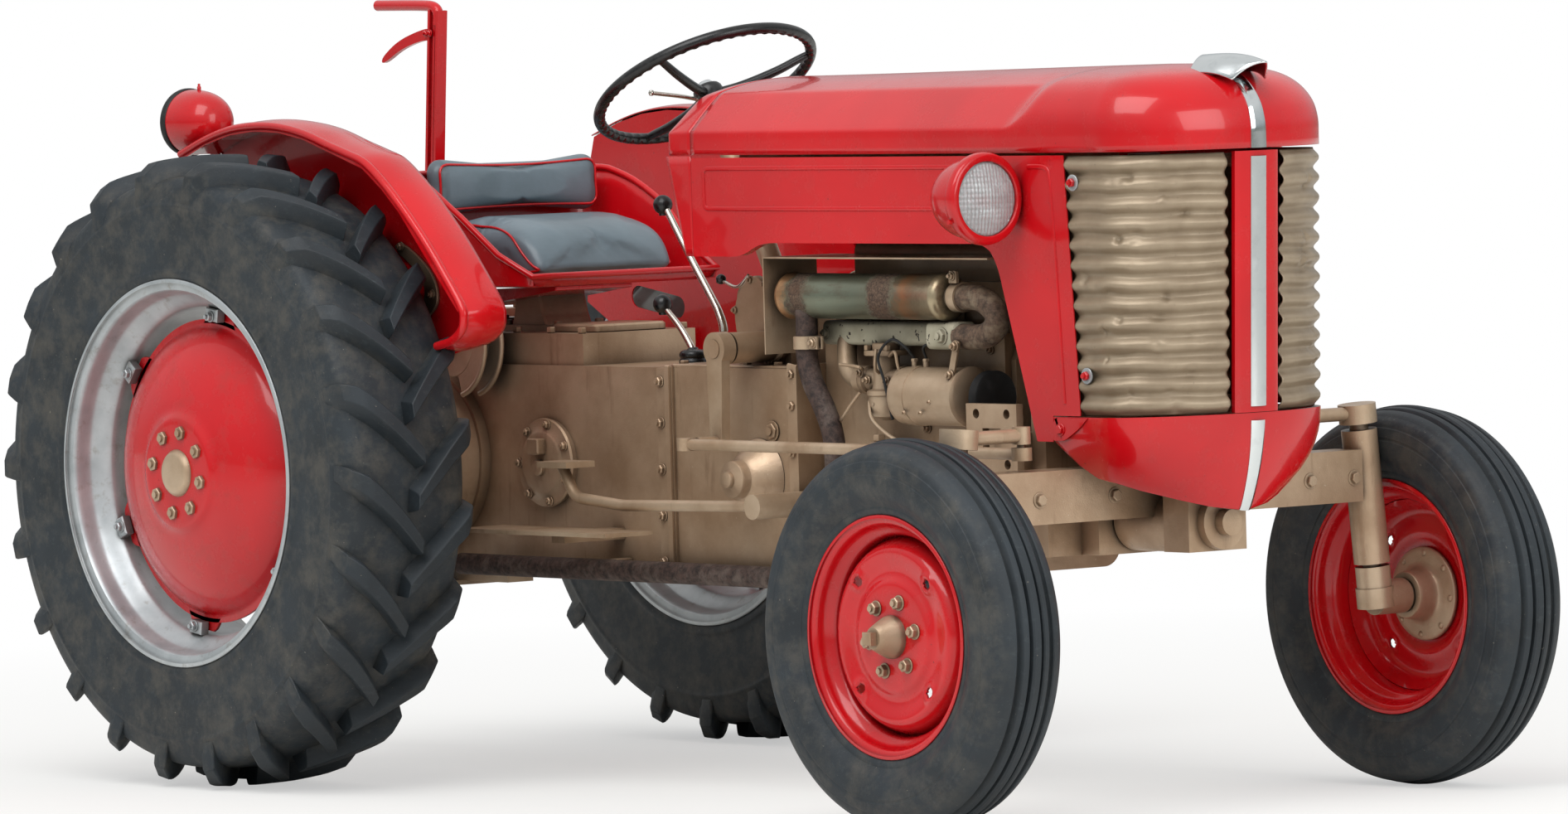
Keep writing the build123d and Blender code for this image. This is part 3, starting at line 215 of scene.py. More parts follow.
def painted_corner_shade(tree, distance, strength):
    """Painted shade: how deep in a corner a point lies, from the share of its surroundings that is hidden, as the
    strength of a darker colour laid there.
    """
    hidden = add(tree, "ShaderNodeAmbientOcclusion", {"Distance": distance}, samples=6)
    return mask(tree, hidden.outputs["AO"], 0.85, 0.25, strength)


def bump(tree, height, millimetres, strength=1.0, normal=None):
    """Bump from a height of so many millimetres."""
    inputs = {"Height": height, "Distance": millimetres / 1000, "Strength": strength}
    if normal is not None:
        inputs["Normal"] = normal
    return add(tree, "ShaderNodeBump", inputs).outputs["Normal"]


def multiply(tree, a, b):
    """Product of two values."""
    return add(tree, "ShaderNodeMath", {0: a, 1: b}, operation="MULTIPLY").outputs["Value"]


def finish_material(tree, inputs):
    """Ends a material in one principled shader."""
    surface = add(tree, "ShaderNodeBsdfPrincipled", inputs)
    add(tree, "ShaderNodeOutputMaterial", {"Surface": surface.outputs["BSDF"]})


def bronze_paint_on_iron(name, light, dark, corner_shade_colour):
    """Satin metallic enamel over sand-cast iron: soft glints painted as pale specks, fine pits, and dark brown
    painted shade in corners.
    """
    material, tree = start_material(name)
    patches = object_noise(tree, 160, 5)
    base = blend_colours(tree, mask(tree, patches, 0.35, 0.68), light, dark)
    streaks = object_noise(tree, 26, 4, 0.6, (1, 1, 7))
    base = blend_colours(tree, mask(tree, streaks, 0.62, 0.78, 0.45), base, "#6b4a2f")
    # Painted glints: sparse pale specks stand in for light catching the sand-cast skin.
    specks = object_noise(tree, 5, 2)
    base = blend_colours(tree, mask(tree, specks, 0.70, 0.76, 0.5), base, "#d9cbb4")
    # Painted shade: dark brown where the surroundings hide a point, as in corners.
    base = blend_colours(tree, painted_corner_shade(tree, 0.07, 0.88), base, corner_shade_colour)
    pits = object_noise(tree, 3.5, 3, 0.7)
    waves = object_noise(tree, 40, 2)
    normal = bump(tree, pits, 0.9, 0.55, bump(tree, waves, 3.5, 0.45))
    rough = mask(tree, patches, 0.3, 0.75, 0.56, 0.34)
    looks = {"Base Color": base, "Metallic": 0.5, "Roughness": rough, "Coat Weight": 0.12}
    finish_material(tree, looks | {"Normal": normal})
    return material


bronze_iron = bronze_paint_on_iron("bronze enamel on cast iron", "#c4a98d", "#9f8367", "#33251b")
bronze_steel = bronze_paint_on_iron("bronze enamel on steel", "#c9b297", "#a1866a", "#3a2a1f")


def paint_node(node, material):
    """Gives a CAD node's object one material."""
    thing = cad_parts[node]
    for slot in thing.material_slots:
        slot.material = material
    if not thing.material_slots:
        thing.data.materials.append(material)


for node in (
    "engine_block",
    "bell_housing",
    "transmission_case",
    "axle_trumpets",
    "lift_cover",
    "front_support",
    "front_axle_beam",
    "steering_box",
    "manifold",
    "dynamo",
    "fuel_tank",
    "radiator",
    "quadrant",
):
    paint_node(node, bronze_iron)
for node in ("drawbar", "pedals", "footrests", "lift_arms", "lift_rods", "lower_links", "heat_shield"):
    paint_node(node, bronze_steel)
for side in ("right", "left"):
    for node in ("knuckle_", "drag_link_", "drop_arm_", "front_hub_"):
        paint_node(node + side, bronze_steel)


# Rear tyres
# Bias-ply farm tyres with tall chevron lugs, weathered slate-black, with dry soil between the lugs.
# Each is a moulded carcass with two staggered rows of lugs that run from the centre down the shoulder.

axle_low, axle_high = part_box("rear_rim_right")
axle_x = (axle_low.x + axle_high.x) / 2
rear_tyre_r = (axle_high.z + axle_low.z) / 2 * 1000
rear_wheel_y = (axle_low.y + axle_high.y) / 2 * 1000
rear_centre = (0.0, rear_wheel_y, rear_tyre_r)


def soften(points, rounds=2, closed=False):
    """Cuts the corners of a line: each run gives its quarter and three-quarter points."""
    line = np.asarray(points, float)
    for _ in range(rounds):
        ahead = np.roll(line, -1, 0) if closed else line[1:]
        start = line if closed else line[:-1]
        pairs = np.stack([0.75 * start + 0.25 * ahead, 0.25 * start + 0.75 * ahead], 1)
        cut = pairs.reshape(-1, line.shape[1])
        line = cut if closed else np.vstack([line[:1], cut[1:-1], line[-1:]])
    return line


def sheet(grid, wrap_rows=False, wrap_columns=False):
    """Points on a grid of rows and columns, and the quads between them, wrapped where it closes."""
    grid = np.asarray(grid, float)
    rows, columns = grid.shape[:2]
    row = np.arange(rows if wrap_rows else rows - 1)[:, None]
    column = np.arange(columns if wrap_columns else columns - 1)[None, :]
    next_row, next_column = (row + 1) % rows, (column + 1) % columns
    corners = [row * columns + column, row * columns + next_column]
    corners += [next_row * columns + next_column, next_row * columns + column]
    quads = np.stack(np.broadcast_arrays(*corners), -1).reshape(-1, 4)
    return grid.reshape(-1, 3), quads


def across_at(line, y):
    """A line of (x, z) points set at one distance across."""
    return np.insert(np.asarray(line, float), 1, y, axis=1)


def lathe(profile, centre, steps, axis="y", closed=False):
    """A profile of (radius, distance along the axis) turned about an axis through a centre."""
    profile = np.asarray(profile, float)
    angle = np.linspace(0, 2 * np.pi, steps, endpoint=False)[:, None]
    radius, along = profile[None, :, 0], profile[None, :, 1] + 0 * angle
    first, second = radius * np.cos(angle), radius * np.sin(angle)
    orders = {"y": (first, along, second), "x": (along, first, second), "z": (first, second, along)}
    order = orders[axis]
    return sheet(np.stack(order, -1) + np.asarray(centre), True, closed)


def build(name, shapes, material, sharp=35.0, merge=0.02, flip=False):
    """One mesh object from shapes of (points, faces) in millimetres from the rear axle's foot on the floor.

    Doubles within the merge distance, in millimetres, become one. Normals are turned outwards, and edges
    over the sharp angle are kept. A flipped piece is the mirror image on the left side.
    """
    offset = 0
    points, faces = [], []
    for shape_points, shape_faces in shapes:
        points.append(np.asarray(shape_points, float))
        faces += [tuple(int(i) + offset for i in face) for face in shape_faces]
        offset += len(shape_points)
    points = np.vstack(points) / 1000
    if flip:
        points = points * (1, -1, 1)
    points[:, 0] += axle_x
    mesh = bpy.data.meshes.new(name)
    mesh.from_pydata(points.tolist(), [], faces)
    form = bmesh.new()
    form.from_mesh(mesh)
    bmesh.ops.remove_doubles(form, verts=form.verts, dist=merge / 1000)
    bmesh.ops.dissolve_degenerate(form, edges=form.edges, dist=1e-6)
    bmesh.ops.recalc_face_normals(form, faces=form.faces)
    form.to_mesh(mesh)
    form.free()
    mesh.shade_smooth()
    mesh.set_sharp_from_angle(angle=math.radians(sharp))
    mesh.materials.append(material)
    thing = bpy.data.objects.new(name, mesh)
    bpy.context.scene.collection.objects.link(thing)
    return thing


def settle(piece, node=None, body="chassis"):
    """Puts a piece on its body and, where a node is named, hides that node so the piece takes its place."""
    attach(piece, body)
    if node:
        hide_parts(node)


def build_pair(name, shapes, material, sharp, node=None, body="chassis"):
    """A piece on the right and its mirror image on the left. The side's name ends the piece's own name, and
    takes the place of the braces in the node's and the body's."""
    pair = []
    for side in ("right", "left"):
        piece = build(f"{name}_{side}", shapes, material, sharp, flip=side == "left")
        settle(piece, node and node.format(side), body.format(side))
        pair.append(piece)
    return pair


def thicken(piece, metres, offset=-1):
    """Gives a sheet its thickness, to its inside unless the offset says otherwise."""
    wall = piece.modifiers.new("sheet thickness", "SOLIDIFY")
    wall.thickness, wall.offset = metres, offset


def radius_about(tree, centre):
    """Distance in metres from the sideways axis through a centre, on Object coordinates."""
    place = add(tree, "ShaderNodeTexCoord").outputs["Object"]
    moved = add(tree, "ShaderNodeVectorMath", {0: place, 1: centre}, operation="SUBTRACT").outputs["Vector"]
    upright = {0: moved, 1: (1, 0, 1)}
    flat = add(tree, "ShaderNodeVectorMath", upright, operation="MULTIPLY").outputs["Vector"]
    return add(tree, "ShaderNodeVectorMath", {0: flat}, operation="LENGTH").outputs["Value"]


def weathered_rubber(name, soil_amount, centre, soil_radius):
    """Black rubber gone slate-grey outdoors, scuffed, with pale soil low between the lugs and painted shade in
    corners.
    """
    material, tree = start_material(name)
    patches = object_noise(tree, 120, 5)
    base = blend_colours(tree, mask(tree, patches, 0.35, 0.7), "#1a2126", "#272f35")
    scuffs = object_noise(tree, 14, 6, 0.7, (1, 2.2, 1))
    base = blend_colours(tree, mask(tree, scuffs, 0.56, 0.78, 0.4), base, "#4c5356")
    soil = object_noise(tree, 55, 7, 0.7)
    low = mask(tree, radius_about(tree, centre), soil_radius, soil_radius - 0.022)
    soiled = multiply(tree, mask(tree, soil, 0.44, 0.66, soil_amount), low)
    base = blend_colours(tree, soiled, base, "#625c51")
    crumbs = object_noise(tree, 9, 3, 0.8)
    base = blend_colours(tree, mask(tree, crumbs, 0.70, 0.74, 0.65), base, "#9b9282")
    # Painted shade: a darker rubber colour where the surroundings hide a point, as in corners.
    base = blend_colours(tree, painted_corner_shade(tree, 0.03, 0.5), base, "#15191b")
    fine = object_noise(tree, 2.5, 4, 0.7)
    wide = object_noise(tree, 18, 4)
    normal = bump(tree, fine, 0.6, 0.4, bump(tree, wide, 1.6, 0.45))
    rough = mask(tree, patches, 0.2, 0.8, 0.71, 0.46)
    looks = {"Base Color": base, "Roughness": rough, "Specular IOR Level": 0.45, "IOR": 1.52}
    finish_material(tree, looks | {"Normal": normal})
    return material


rear_axle_line = (axle_x, 0.0, rear_tyre_r / 1000)
rear_rubber = weathered_rubber("weathered tractor tyre rubber", 0.4, rear_axle_line, 0.602)

rim_r = 381.0
rim_half = 145.0
tyre_half = 150.0
carcass_r = rear_tyre_r - 36
lugs_a_side = 22

bead_line = np.array([(-14, 12), (2, 2), (14, -1), (22, 3)]) + (rim_r, -rim_half)
wall_line = np.array([(60, 5), (100, 1), (134, 3), (142, 0), (150, 4)]) + (rim_r, -tyre_half)
shoulder_line = np.array([(-26, 10), (-10, 24)]) + (carcass_r, -tyre_half)
crown_line = np.array([(-3, -90), (0, -40), (0, 0)]) + (carcass_r, 0)


def mirrored(half):
    """A half profile up to its middle, carried on by its mirror image."""
    return np.vstack([half, (half * (1, -1))[::-1][1:]])


carcass_outline = mirrored(np.vstack([bead_line, wall_line, shoulder_line, crown_line]))
inner_wall = [(rim_r + 30, rim_half - 26), (rim_r + 120, tyre_half - 22), (carcass_r - 34, 100)]
inner_wall += [(carcass_r - 34, -100), (rim_r + 120, -tyre_half + 22), (rim_r + 30, -rim_half + 26)]
carcass_line = np.vstack([soften(carcass_outline, 2), np.array(inner_wall)])


def chevron_lugs(side, first_angle):
    """One row of lugs. Along t from the centre to low on the shoulder, the middle of a lug falls back by
    lead (1 - t) to the power 1.35, and its top follows the crown and then the shoulder's curve. Across, the
    section is a bar with sloping walls, wider at its foot and sunk into the carcass."""
    t = np.linspace(0, 1, 15)
    across = np.interp(t, [0, 0.72, 0.86, 1.0], [-9, 122, 146, 148.5]) * side
    top = np.interp(t, [0, 0.35, 0.62, 0.72, 0.86, 1.0], [0, -1, -5, -9, -34, -86]) + rear_tyre_r
    foot = np.interp(t, [0, 0.62, 0.74, 0.86, 1.0], [carcass_r, carcass_r - 3, carcass_r - 12, 548, 512]) - 5
    inset = np.interp(t, [0, 0.72, 0.86, 1.0], [0, 0, 6, 12]) * side
    lead = 0.245 * (1 - t) ** 1.35
    half_top = np.interp(t, [0, 0.1, 0.7, 1.0], [15, 17, 22, 17])
    half_foot = half_top + np.interp(t, [0, 0.7, 1.0], [12, 11, 6])
    shares = np.array([-1.0, -1.0, -0.86, 0.86, 1.0, 1.0])
    level = np.array([0.0, 0.86, 1.0, 1.0, 0.86, 0.0])
    width = half_foot[:, None] + (half_top - half_foot)[:, None] * level[None, :]
    radius = foot[:, None] + (top - foot)[:, None] * level[None, :]
    sideways = (across - inset)[:, None] + inset[:, None] * level[None, :]
    shapes = []
    for i in range(lugs_a_side):
        angle = first_angle + 2 * np.pi * i / lugs_a_side
        slant = angle - lead[:, None] + width * shares[None, :] / rear_tyre_r
        grid = np.stack([radius * np.cos(slant), sideways + 0 * slant, radius * np.sin(slant)], -1)
        points, faces = sheet(grid + np.array(rear_centre), False, True)
        ends = [tuple(range(5, -1, -1)), tuple(range(len(points) - 6, len(points)))]
        shapes.append((points, [tuple(f) for f in faces] + ends))
    return shapes


rear_tyre_shapes = [lathe(carcass_line, rear_centre, 176, closed=True)]
rear_tyre_shapes += chevron_lugs(-1, 0.02) + chevron_lugs(1, 0.02 + np.pi / lugs_a_side)
rear_body = "rear_wheel_{}"
rear_tyres = build_pair(
    "rear_tyre_form", rear_tyre_shapes, rear_rubber, 32, "rear_tyre_{}", rear_body
)
for tyre in rear_tyres:
    edge = tyre.modifiers.new("worn edges", "BEVEL")
    edge.width, edge.segments, edge.limit_method = 0.0035, 2, "ANGLE"
    edge.angle_limit = math.radians(32)


# Rear rims and discs
# Rolled steel rims in silver wheel paint carry six clamps. The pressed dish is red enamel, bolted to the
# axle by eight nuts round a bronze cap, and its six lobes sit in the rim's clamps.


def silver_wheel_paint():
    """Aluminium-pigment paint on rolled steel: a soft metallic grey with brown dust, fine scratches and painted
    shade in corners.
    """
    material, tree = start_material("silver wheel paint")
    patches = object_noise(tree, 90, 5)
    base = blend_colours(tree, mask(tree, patches, 0.35, 0.7), "#c3c8ca", "#a2a8ab")
    dust = mask(tree, object_noise(tree, 30, 6, 0.7), 0.56, 0.72, 0.5)
    base = blend_colours(tree, dust, base, "#7d7161")
    # Painted shade: darker where the surroundings hide a point, as in corners.
    base = blend_colours(tree, painted_corner_shade(tree, 0.05, 0.8), base, "#3d352c")
    normal = bump(tree, object_noise(tree, 6, 3), 0.4, 0.25)
    finish_material(tree, {"Base Color": base, "Metallic": 0.55, "Roughness": 0.4, "Normal": normal})
    return material


def red_enamel(name, dust):
    """Glossy tractor enamel on pressed steel: deep red, mild orange peel, thin dust, a few chips and painted dark
    red shade in corners.
    """
    material, tree = start_material(name)
    patches = object_noise(tree, 350, 3)
    base = blend_colours(tree, mask(tree, patches, 0.35, 0.7), "#cf0b16", "#b80812")
    # Painted shade: a dark red where the surroundings hide a point, as in corners.
    base = blend_colours(tree, painted_corner_shade(tree, 0.035, 0.6), base, "#3a0508")
    specks = mask(tree, object_noise(tree, 8, 2, 0.5), 0.755, 0.775, 0.8)
    base = blend_colours(tree, specks, base, "#5d1211")
    film = mask(tree, object_noise(tree, 70, 7, 0.7), 0.5, 0.75, dust)
    base = blend_colours(tree, film, base, "#7d4a40")
    peel = object_noise(tree, 7, 2)
    waves = object_noise(tree, 260, 2)
    normal = bump(tree, peel, 0.12, 0.2, bump(tree, waves, 6.0, 0.2))
    rough = add(tree, "ShaderNodeMath", {0: film, 1: 0.24}, operation="ADD").outputs["Value"]
    looks = {"Base Color": base, "Roughness": rough, "IOR": 1.5, "Specular IOR Level": 0.3}
    finish_material(tree, looks | {"Coat Weight": 0.5, "Coat Roughness": 0.04, "Normal": normal})
    return material


silver_paint = silver_wheel_paint()
red_wheel = red_enamel("red enamel on wheels", 0.28)

hub_plate_y = -138.0
clamp_y = -50.0
lobe_start = 8.0
lobes = 6
dome_r = rim_r - 97

rim_drop = [(-4, 0), (-0.5, 1), (-1, 6), (-12, 8), (-21, 10), (-24, 42), (-30, 52), (-50, 72), (-55, 84)]
rim_drop.append((-56, rim_half))
rim_outer = mirrored(soften(np.array(rim_drop) + (rim_r, -rim_half), 2))
rim_line = np.vstack([rim_outer, (rim_outer - (4.5, 0))[::-1]])

dish_face = [(0.1, 0), (104, 0), (110, 2), (122, 9), (150, 13), (196, 24), (236, 40), (264, 58), (276, 72)]
dish_face = np.array(dish_face) + (0, hub_plate_y)
dish_edge = [(dome_r, clamp_y - 4), (dome_r + 14, clamp_y - 4)]
dish_back = [(dome_r + 14, clamp_y + 2), (dome_r - 8, clamp_y + 2), (dome_r - 20, hub_plate_y + 66)]
dish_back += [(176, hub_plate_y + 26), (104, hub_plate_y + 14), (0.1, hub_plate_y + 14)]
dish_line = np.vstack([soften(np.vstack([dish_face, dish_edge]), 2), np.array(dish_back)])


def spun(shape, centre, degrees, axis="y"):
    """A shape turned about an axis through a centre."""
    points, faces = shape
    a = math.radians(degrees)
    c, s = math.cos(a), math.sin(a)
    turn = {"y": [[c, 0, s], [0, 1, 0], [-s, 0, c]], "x": [[1, 0, 0], [0, c, -s], [0, s, c]]}[axis]
    return (np.asarray(points) - centre) @ np.array(turn).T + centre, faces


def with_ends(tube, n):
    """A tube of points and faces, closed by one face over the first n points and one over the last n."""
    points, faces = tube
    ends = [tuple(range(n))[::-1], tuple(range(len(points) - n, len(points)))]
    return points, [tuple(face) for face in faces] + ends


def prism(outline, low, high, axis="y", chamfer=0.0):
    """A closed outline of two coordinates carried from low to high along an axis, with its edges broken."""
    outline = np.asarray(outline, float)
    middle = outline.mean(0)
    reach = np.abs(outline - middle).max()
    levels, sizes = [low, high], [1, 1]
    if chamfer:
        levels = [low, low + chamfer, high - chamfer, high]
        sizes = [1 - chamfer / reach, 1, 1, 1 - chamfer / reach]
    rings = [middle + (outline - middle) * size for size in sizes]
    order = {"y": (0, 2, 1), "x": (2, 0, 1), "z": (0, 1, 2)}[axis]
    stacked = np.stack([np.column_stack([ring, np.full(len(ring), at)]) for ring, at in zip(rings, levels)])
    return with_ends(sheet(stacked[..., order], False, True), len(outline))


def hexagon(centre, radius):
    """Six corners of a nut round a centre."""
    angle = np.radians(np.arange(6) * 60 + 15)
    return np.column_stack([centre[0] + radius * np.cos(angle), centre[1] + radius * np.sin(angle)])


def disc_outline(centre, radius, steps=24):
    """A round outline about a centre."""
    angle = np.linspace(0, 2 * np.pi, steps, endpoint=False)
    return np.column_stack([centre[0] + radius * np.cos(angle), centre[1] + radius * np.sin(angle)])


def nuts_on_y(places, y, out, radius, height):
    """Washers, nuts and stud ends that stand out from y along the Y axis."""
    shapes = []
    for x, z in places:
        washer = disc_outline((x, z), radius * 1.25)
        stud = disc_outline((x, z), radius * 0.48, 14)
        shapes.append(prism(washer, *sorted((y, y + out * 2.5)), chamfer=0.6))
        shapes.append(prism(hexagon((x, z), radius), *sorted((y, y + out * (height + 2))), chamfer=1.6))
        shapes.append(prism(stud, *sorted((y, y + out * (height + 6)))))
    return shapes


def ring_places(centre, radius, count, start=0.0):
    """Places evenly round a centre, with the start measured from the top towards +X."""
    a = np.radians(start + 360 * np.arange(count) / count)
    return np.column_stack([centre[0] + radius * np.sin(a), centre[1] + radius * np.cos(a)])


wheel_centre = np.array(rear_centre)
lobe_outline = [(-62, dome_r - 14), (-46, dome_r + 16), (-40, rim_r - 72), (-32, rim_r - 66)]
lobe_outline += [(32, rim_r - 66), (40, rim_r - 72), (46, dome_r + 16), (62, dome_r - 14)]
lobe = prism(lobe_outline, clamp_y - 4, clamp_y + 3, chamfer=1.5)
lobe = (np.asarray(lobe[0]) + wheel_centre, lobe[1])
clamp_outline = [(-19, rim_r - 84), (-19, rim_r - 58), (19, rim_r - 58), (19, rim_r - 84)]
clamp = prism(clamp_outline, clamp_y - 27, clamp_y - 5, chamfer=3)
clamp = (np.asarray(clamp[0]) + wheel_centre, clamp[1])
clamp_bolt = nuts_on_y([(0, rim_r - 74)], clamp_y - 27, -1, 9, 9)
clamp_bolt = [(np.asarray(p) + wheel_centre, f) for p, f in clamp_bolt]
turns = [lobe_start + 60 * i for i in range(lobes)]

rim_shapes = [lathe(rim_line, rear_centre, 144, closed=True)]
dish_shapes = [lathe(dish_line, rear_centre, 144)] + [spun(lobe, wheel_centre, a) for a in turns]
clamp_shapes = [spun(clamp, wheel_centre, a) for a in turns]
clamp_shapes += [spun(shape, wheel_centre, a) for a in turns for shape in clamp_bolt]
axle_nuts = nuts_on_y(ring_places((0, rear_tyre_r), 80, 8, 12), rear_wheel_y + hub_plate_y + 7, -1, 14, 12)
cap_face = rear_wheel_y + hub_plate_y
cap_line = soften([(0.1, -12), (34, -12), (40, -10), (46, -2), (47, 2), (0.1, 2)], 1)
axle_cap = lathe(cap_line + (0, cap_face), (0, 0, rear_tyre_r), 64)

build_pair("rear_rim_form", rim_shapes, silver_paint, 35, "rear_rim_{}", rear_body)
build_pair("rear_dish_form", dish_shapes, red_wheel, 35, "rear_disc_{}", rear_body)
build_pair("rear_clamps", clamp_shapes, silver_paint, 30, body=rear_body)
build_pair("rear_axle_nuts", axle_nuts + [axle_cap], bronze_steel, 30, body=rear_body)


# Brake drums
# Cast drums behind the rear discs run close to the axle housings' back plates.

back_plate_y = -630.0
drum_line = [(0.1, 14), (104, 14), (106, 40), (160, 42), (166, 50), (166, 60), (158, 64), (158, 150)]
drum_line += [(42.5, 150), (42.5, 20), (0.1, 20)]
drum_line = np.array(drum_line, float) + (0, hub_plate_y)
drum_line[:, 1] = np.minimum(drum_line[:, 1], back_plate_y - 6 - rear_wheel_y)
drum = lathe(drum_line, rear_centre, 96)
build_pair("brake_drum", [drum], bronze_iron, 35, body=rear_body)


# Front tyres
# Ribbed implement tyres: a high middle rib, two shoulder ribs and fine moulded rings on the walls.

front_low, front_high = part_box("front_tyre_right")
front_x = ((front_low.x + front_high.x) / 2 - axle_x) * 1000
front_y = (front_low.y + front_high.y) / 2 * 1000
front_r = (front_high.z - front_low.z) / 2 * 1000
front_centre = (front_x, front_y, front_r)
front_rim_r = 222.0
front_rim_half = 63.5
front_half = 83.0

bead_line = np.array([(-8, 10), (2, 2), (10, -2), (16, -1)]) + (front_rim_r, -front_rim_half)
wall_line = [(34, 5), (52, 0.5), (72, 0), (74, 1.5), (78, 1.5), (80, 0.5), (96, 4), (98, 6), (103, 7)]
wall_line = np.array(wall_line + [(112, 12)]) + (front_rim_r, -front_half)
shoulder_line = np.array([(-19, 19), (-13, 24)]) + (front_r, -front_half)
rib_line = [(-9, -48), (-8, -43), (-16, -40), (-17, -34), (-6, -31), (-3.5, -24), (-3, -17), (-13, -14.5)]
rib_line = np.array(rib_line + [(-13, -11.5), (-0.5, -9), (0, 0)]) + (front_r, 0)
front_line = mirrored(soften(np.vstack([bead_line, wall_line, shoulder_line, rib_line]), 1))
front_inner = [(front_rim_r + 30, 50), (front_r - 40, 50), (front_r - 40, -50), (front_rim_r + 30, -50)]
front_axle_line = (front_x / 1000 + axle_x, 0.0, front_r / 1000)
front_rubber = weathered_rubber("weathered ribbed tyre rubber", 0.35, front_axle_line, 0.352)
front_tyre_line = np.vstack([front_line, np.array(front_inner)])
front_tyre_shape = lathe(front_tyre_line, front_centre, 160, closed=True)
front_body = "front_wheel_{}"
tyre_shapes = [front_tyre_shape]
build_pair("front_tyre_form", tyre_shapes, front_rubber, 28, "front_tyre_{}", front_body)


# Front rims and hubs
# Drop-centre rims with a pressed disc, all red enamel. Six nuts hold each disc to a bronze hub with a cone
# cap and square end outside, and a riveted flange inside.

front_disc_y = -44.0
rim_drop = [(-3, 0), (0, 1), (0, 4), (-9, 6), (-14, 10), (-17, 24), (-24, 32), (-36, 40)]
rim_drop.append((-38, front_rim_half))
front_rim_outer = mirrored(soften(np.array(rim_drop) + (front_rim_r, -front_rim_half), 2))
front_rim_line = np.vstack([front_rim_outer, (front_rim_outer - (3.5, 0))[::-1]])
disc_line = [(37, 0), (92, 0), (100, 1), (110, 7), (122, 8), (146, 2), (158, 2), (166, 9), (174, 22)]
disc_line.append((front_rim_r - 41, 38))
disc_face = soften(np.array(disc_line) + (0, front_disc_y), 2)
disc_sheet = np.vstack([disc_face, (disc_face + (-1.5, 3.5))[::-1]])


def pierced_lathe(profile, centre, steps, holes, hole_at, hole_r, lip):
    """A turned profile raised to a lip round each hole by a bell curve. The faces in the holes are left out."""
    points, faces = lathe(profile, centre, steps, closed=True)
    turn = np.radians(45 + 90 * np.arange(holes))
    outwards = np.stack([np.sin(turn), 0 * turn, np.cos(turn)], -1)
    middle = np.array([centre[0], 0, centre[2]]) + hole_at * outwards
    gap = np.linalg.norm((points[:, None, :] - middle[None]) * (1, 0, 1), axis=-1).min(1)
    raised = np.exp(-(((gap - hole_r * 1.35) / (hole_r * 0.45)) ** 2))
    near = points[:, 1] < centre[1] + front_disc_y + 30
    points = points.copy()
    points[:, 1] -= lip * raised * near
    centres = points[np.asarray(faces)].mean(1)
    away = np.linalg.norm((centres[:, None, :] - middle[None]) * (1, 0, 1), axis=-1).min(1)
    return points, np.asarray(faces)[away > hole_r * 0.8]


dense_sheet = np.vstack(
    [np.linspace(a, b, 2, endpoint=False) for a, b in zip(disc_sheet, np.roll(disc_sheet, -1, 0))]
)
front_disc_shape = pierced_lathe(dense_sheet, front_centre, 192, 4, 138, 11, 3.5)
front_rim_shape = lathe(front_rim_line, front_centre, 128, closed=True)
hub_line = [(0.1, -46), (19, -46), (22, -43), (37, -13), (39, -8), (40, 4), (86, 4), (89, 7), (89, 13)]
hub_line += [(84, 16), (56, 18), (48, 26), (45, 58), (42, 62), (28.5, 62), (28.5, 34), (0.1, 34)]
hub_body = lathe(soften(np.array(hub_line) + (0, front_disc_y), 1), front_centre, 72)
square = np.array([(-12, -12), (12, -12), (12, 12), (-12, 12)]) + (front_x, front_r)
face_y = front_y + front_disc_y
square_end = prism(square, face_y - 62, face_y - 44, chamfer=2)
hub_nuts = nuts_on_y(ring_places((front_x, front_r), 66, 6, 20), face_y, -1, 11.5, 12)
rivet = soften([(0.1, 5.5), (5, 4.5), (7.5, 0), (7.5, -2), (0.1, -2)], 1)
rivet_places = ring_places((front_x, front_r), 77, 8, 5)
rivets = [lathe(rivet, (x, face_y + 14, z), 12) for x, z in rivet_places]
red_front_wheel = red_enamel("red enamel on front wheels", 0.2)
rim_shapes = [front_rim_shape, front_disc_shape]
hub_shapes = [hub_body, square_end, *rivets]
build_pair("front_rim_form", rim_shapes, red_front_wheel, 35, "front_rim_{}", front_body)
build_pair("front_hub_form", hub_shapes, bronze_steel, 35, "front_hub_{}", front_body)
build_pair("front_wheel_nuts", hub_nuts, bronze_steel, 30, body=front_body)


# Hood
# One pressed steel sheet, red enamel, hinged along its side seam. A flat inclined panel runs along each
# shoulder over a hard crease, and the sheet rounds over into a bowed nose.

body_half = 254.0
seam_z = 1219.0
hood_rear = 974.0
nose_start = front_x + 130
nose_x = front_x + 292
fan_x = front_x + 55
hood_top = 1376.0
shoulder_section = [(1, 0), (1, 21), (1, 38), (0.999, 45), (0.985, 50), (0.86, 84), (0.735, 117)]
shoulder_section += [(0.70, 125), (0.64, 130.5), (0.45, 144), (0.25, 152), (0, 157)]
full_section = [(1, 0), (1, 21), (1, 43), (0.995, 62), (0.978, 79), (0.94, 98), (0.885, 115)]
full_section += [(0.80, 130), (0.69, 139.5), (0.48, 149), (0.25, 155), (0, 157)]
nose_section = [(1, 0), (1, 21), (1, 42), (0.985, 61), (0.963, 79), (0.92, 97), (0.855, 115)]
nose_section += [(0.765, 131), (0.65, 143), (0.45, 152), (0.25, 156), (0, 157)]


def step_up(x, start, end):
    """0 before the start, 1 after the end, and 3t squared less 2t cubed between."""
    t = np.clip((x - start) / (end - start), 0, 1)
    return t * t * (3 - 2 * t)


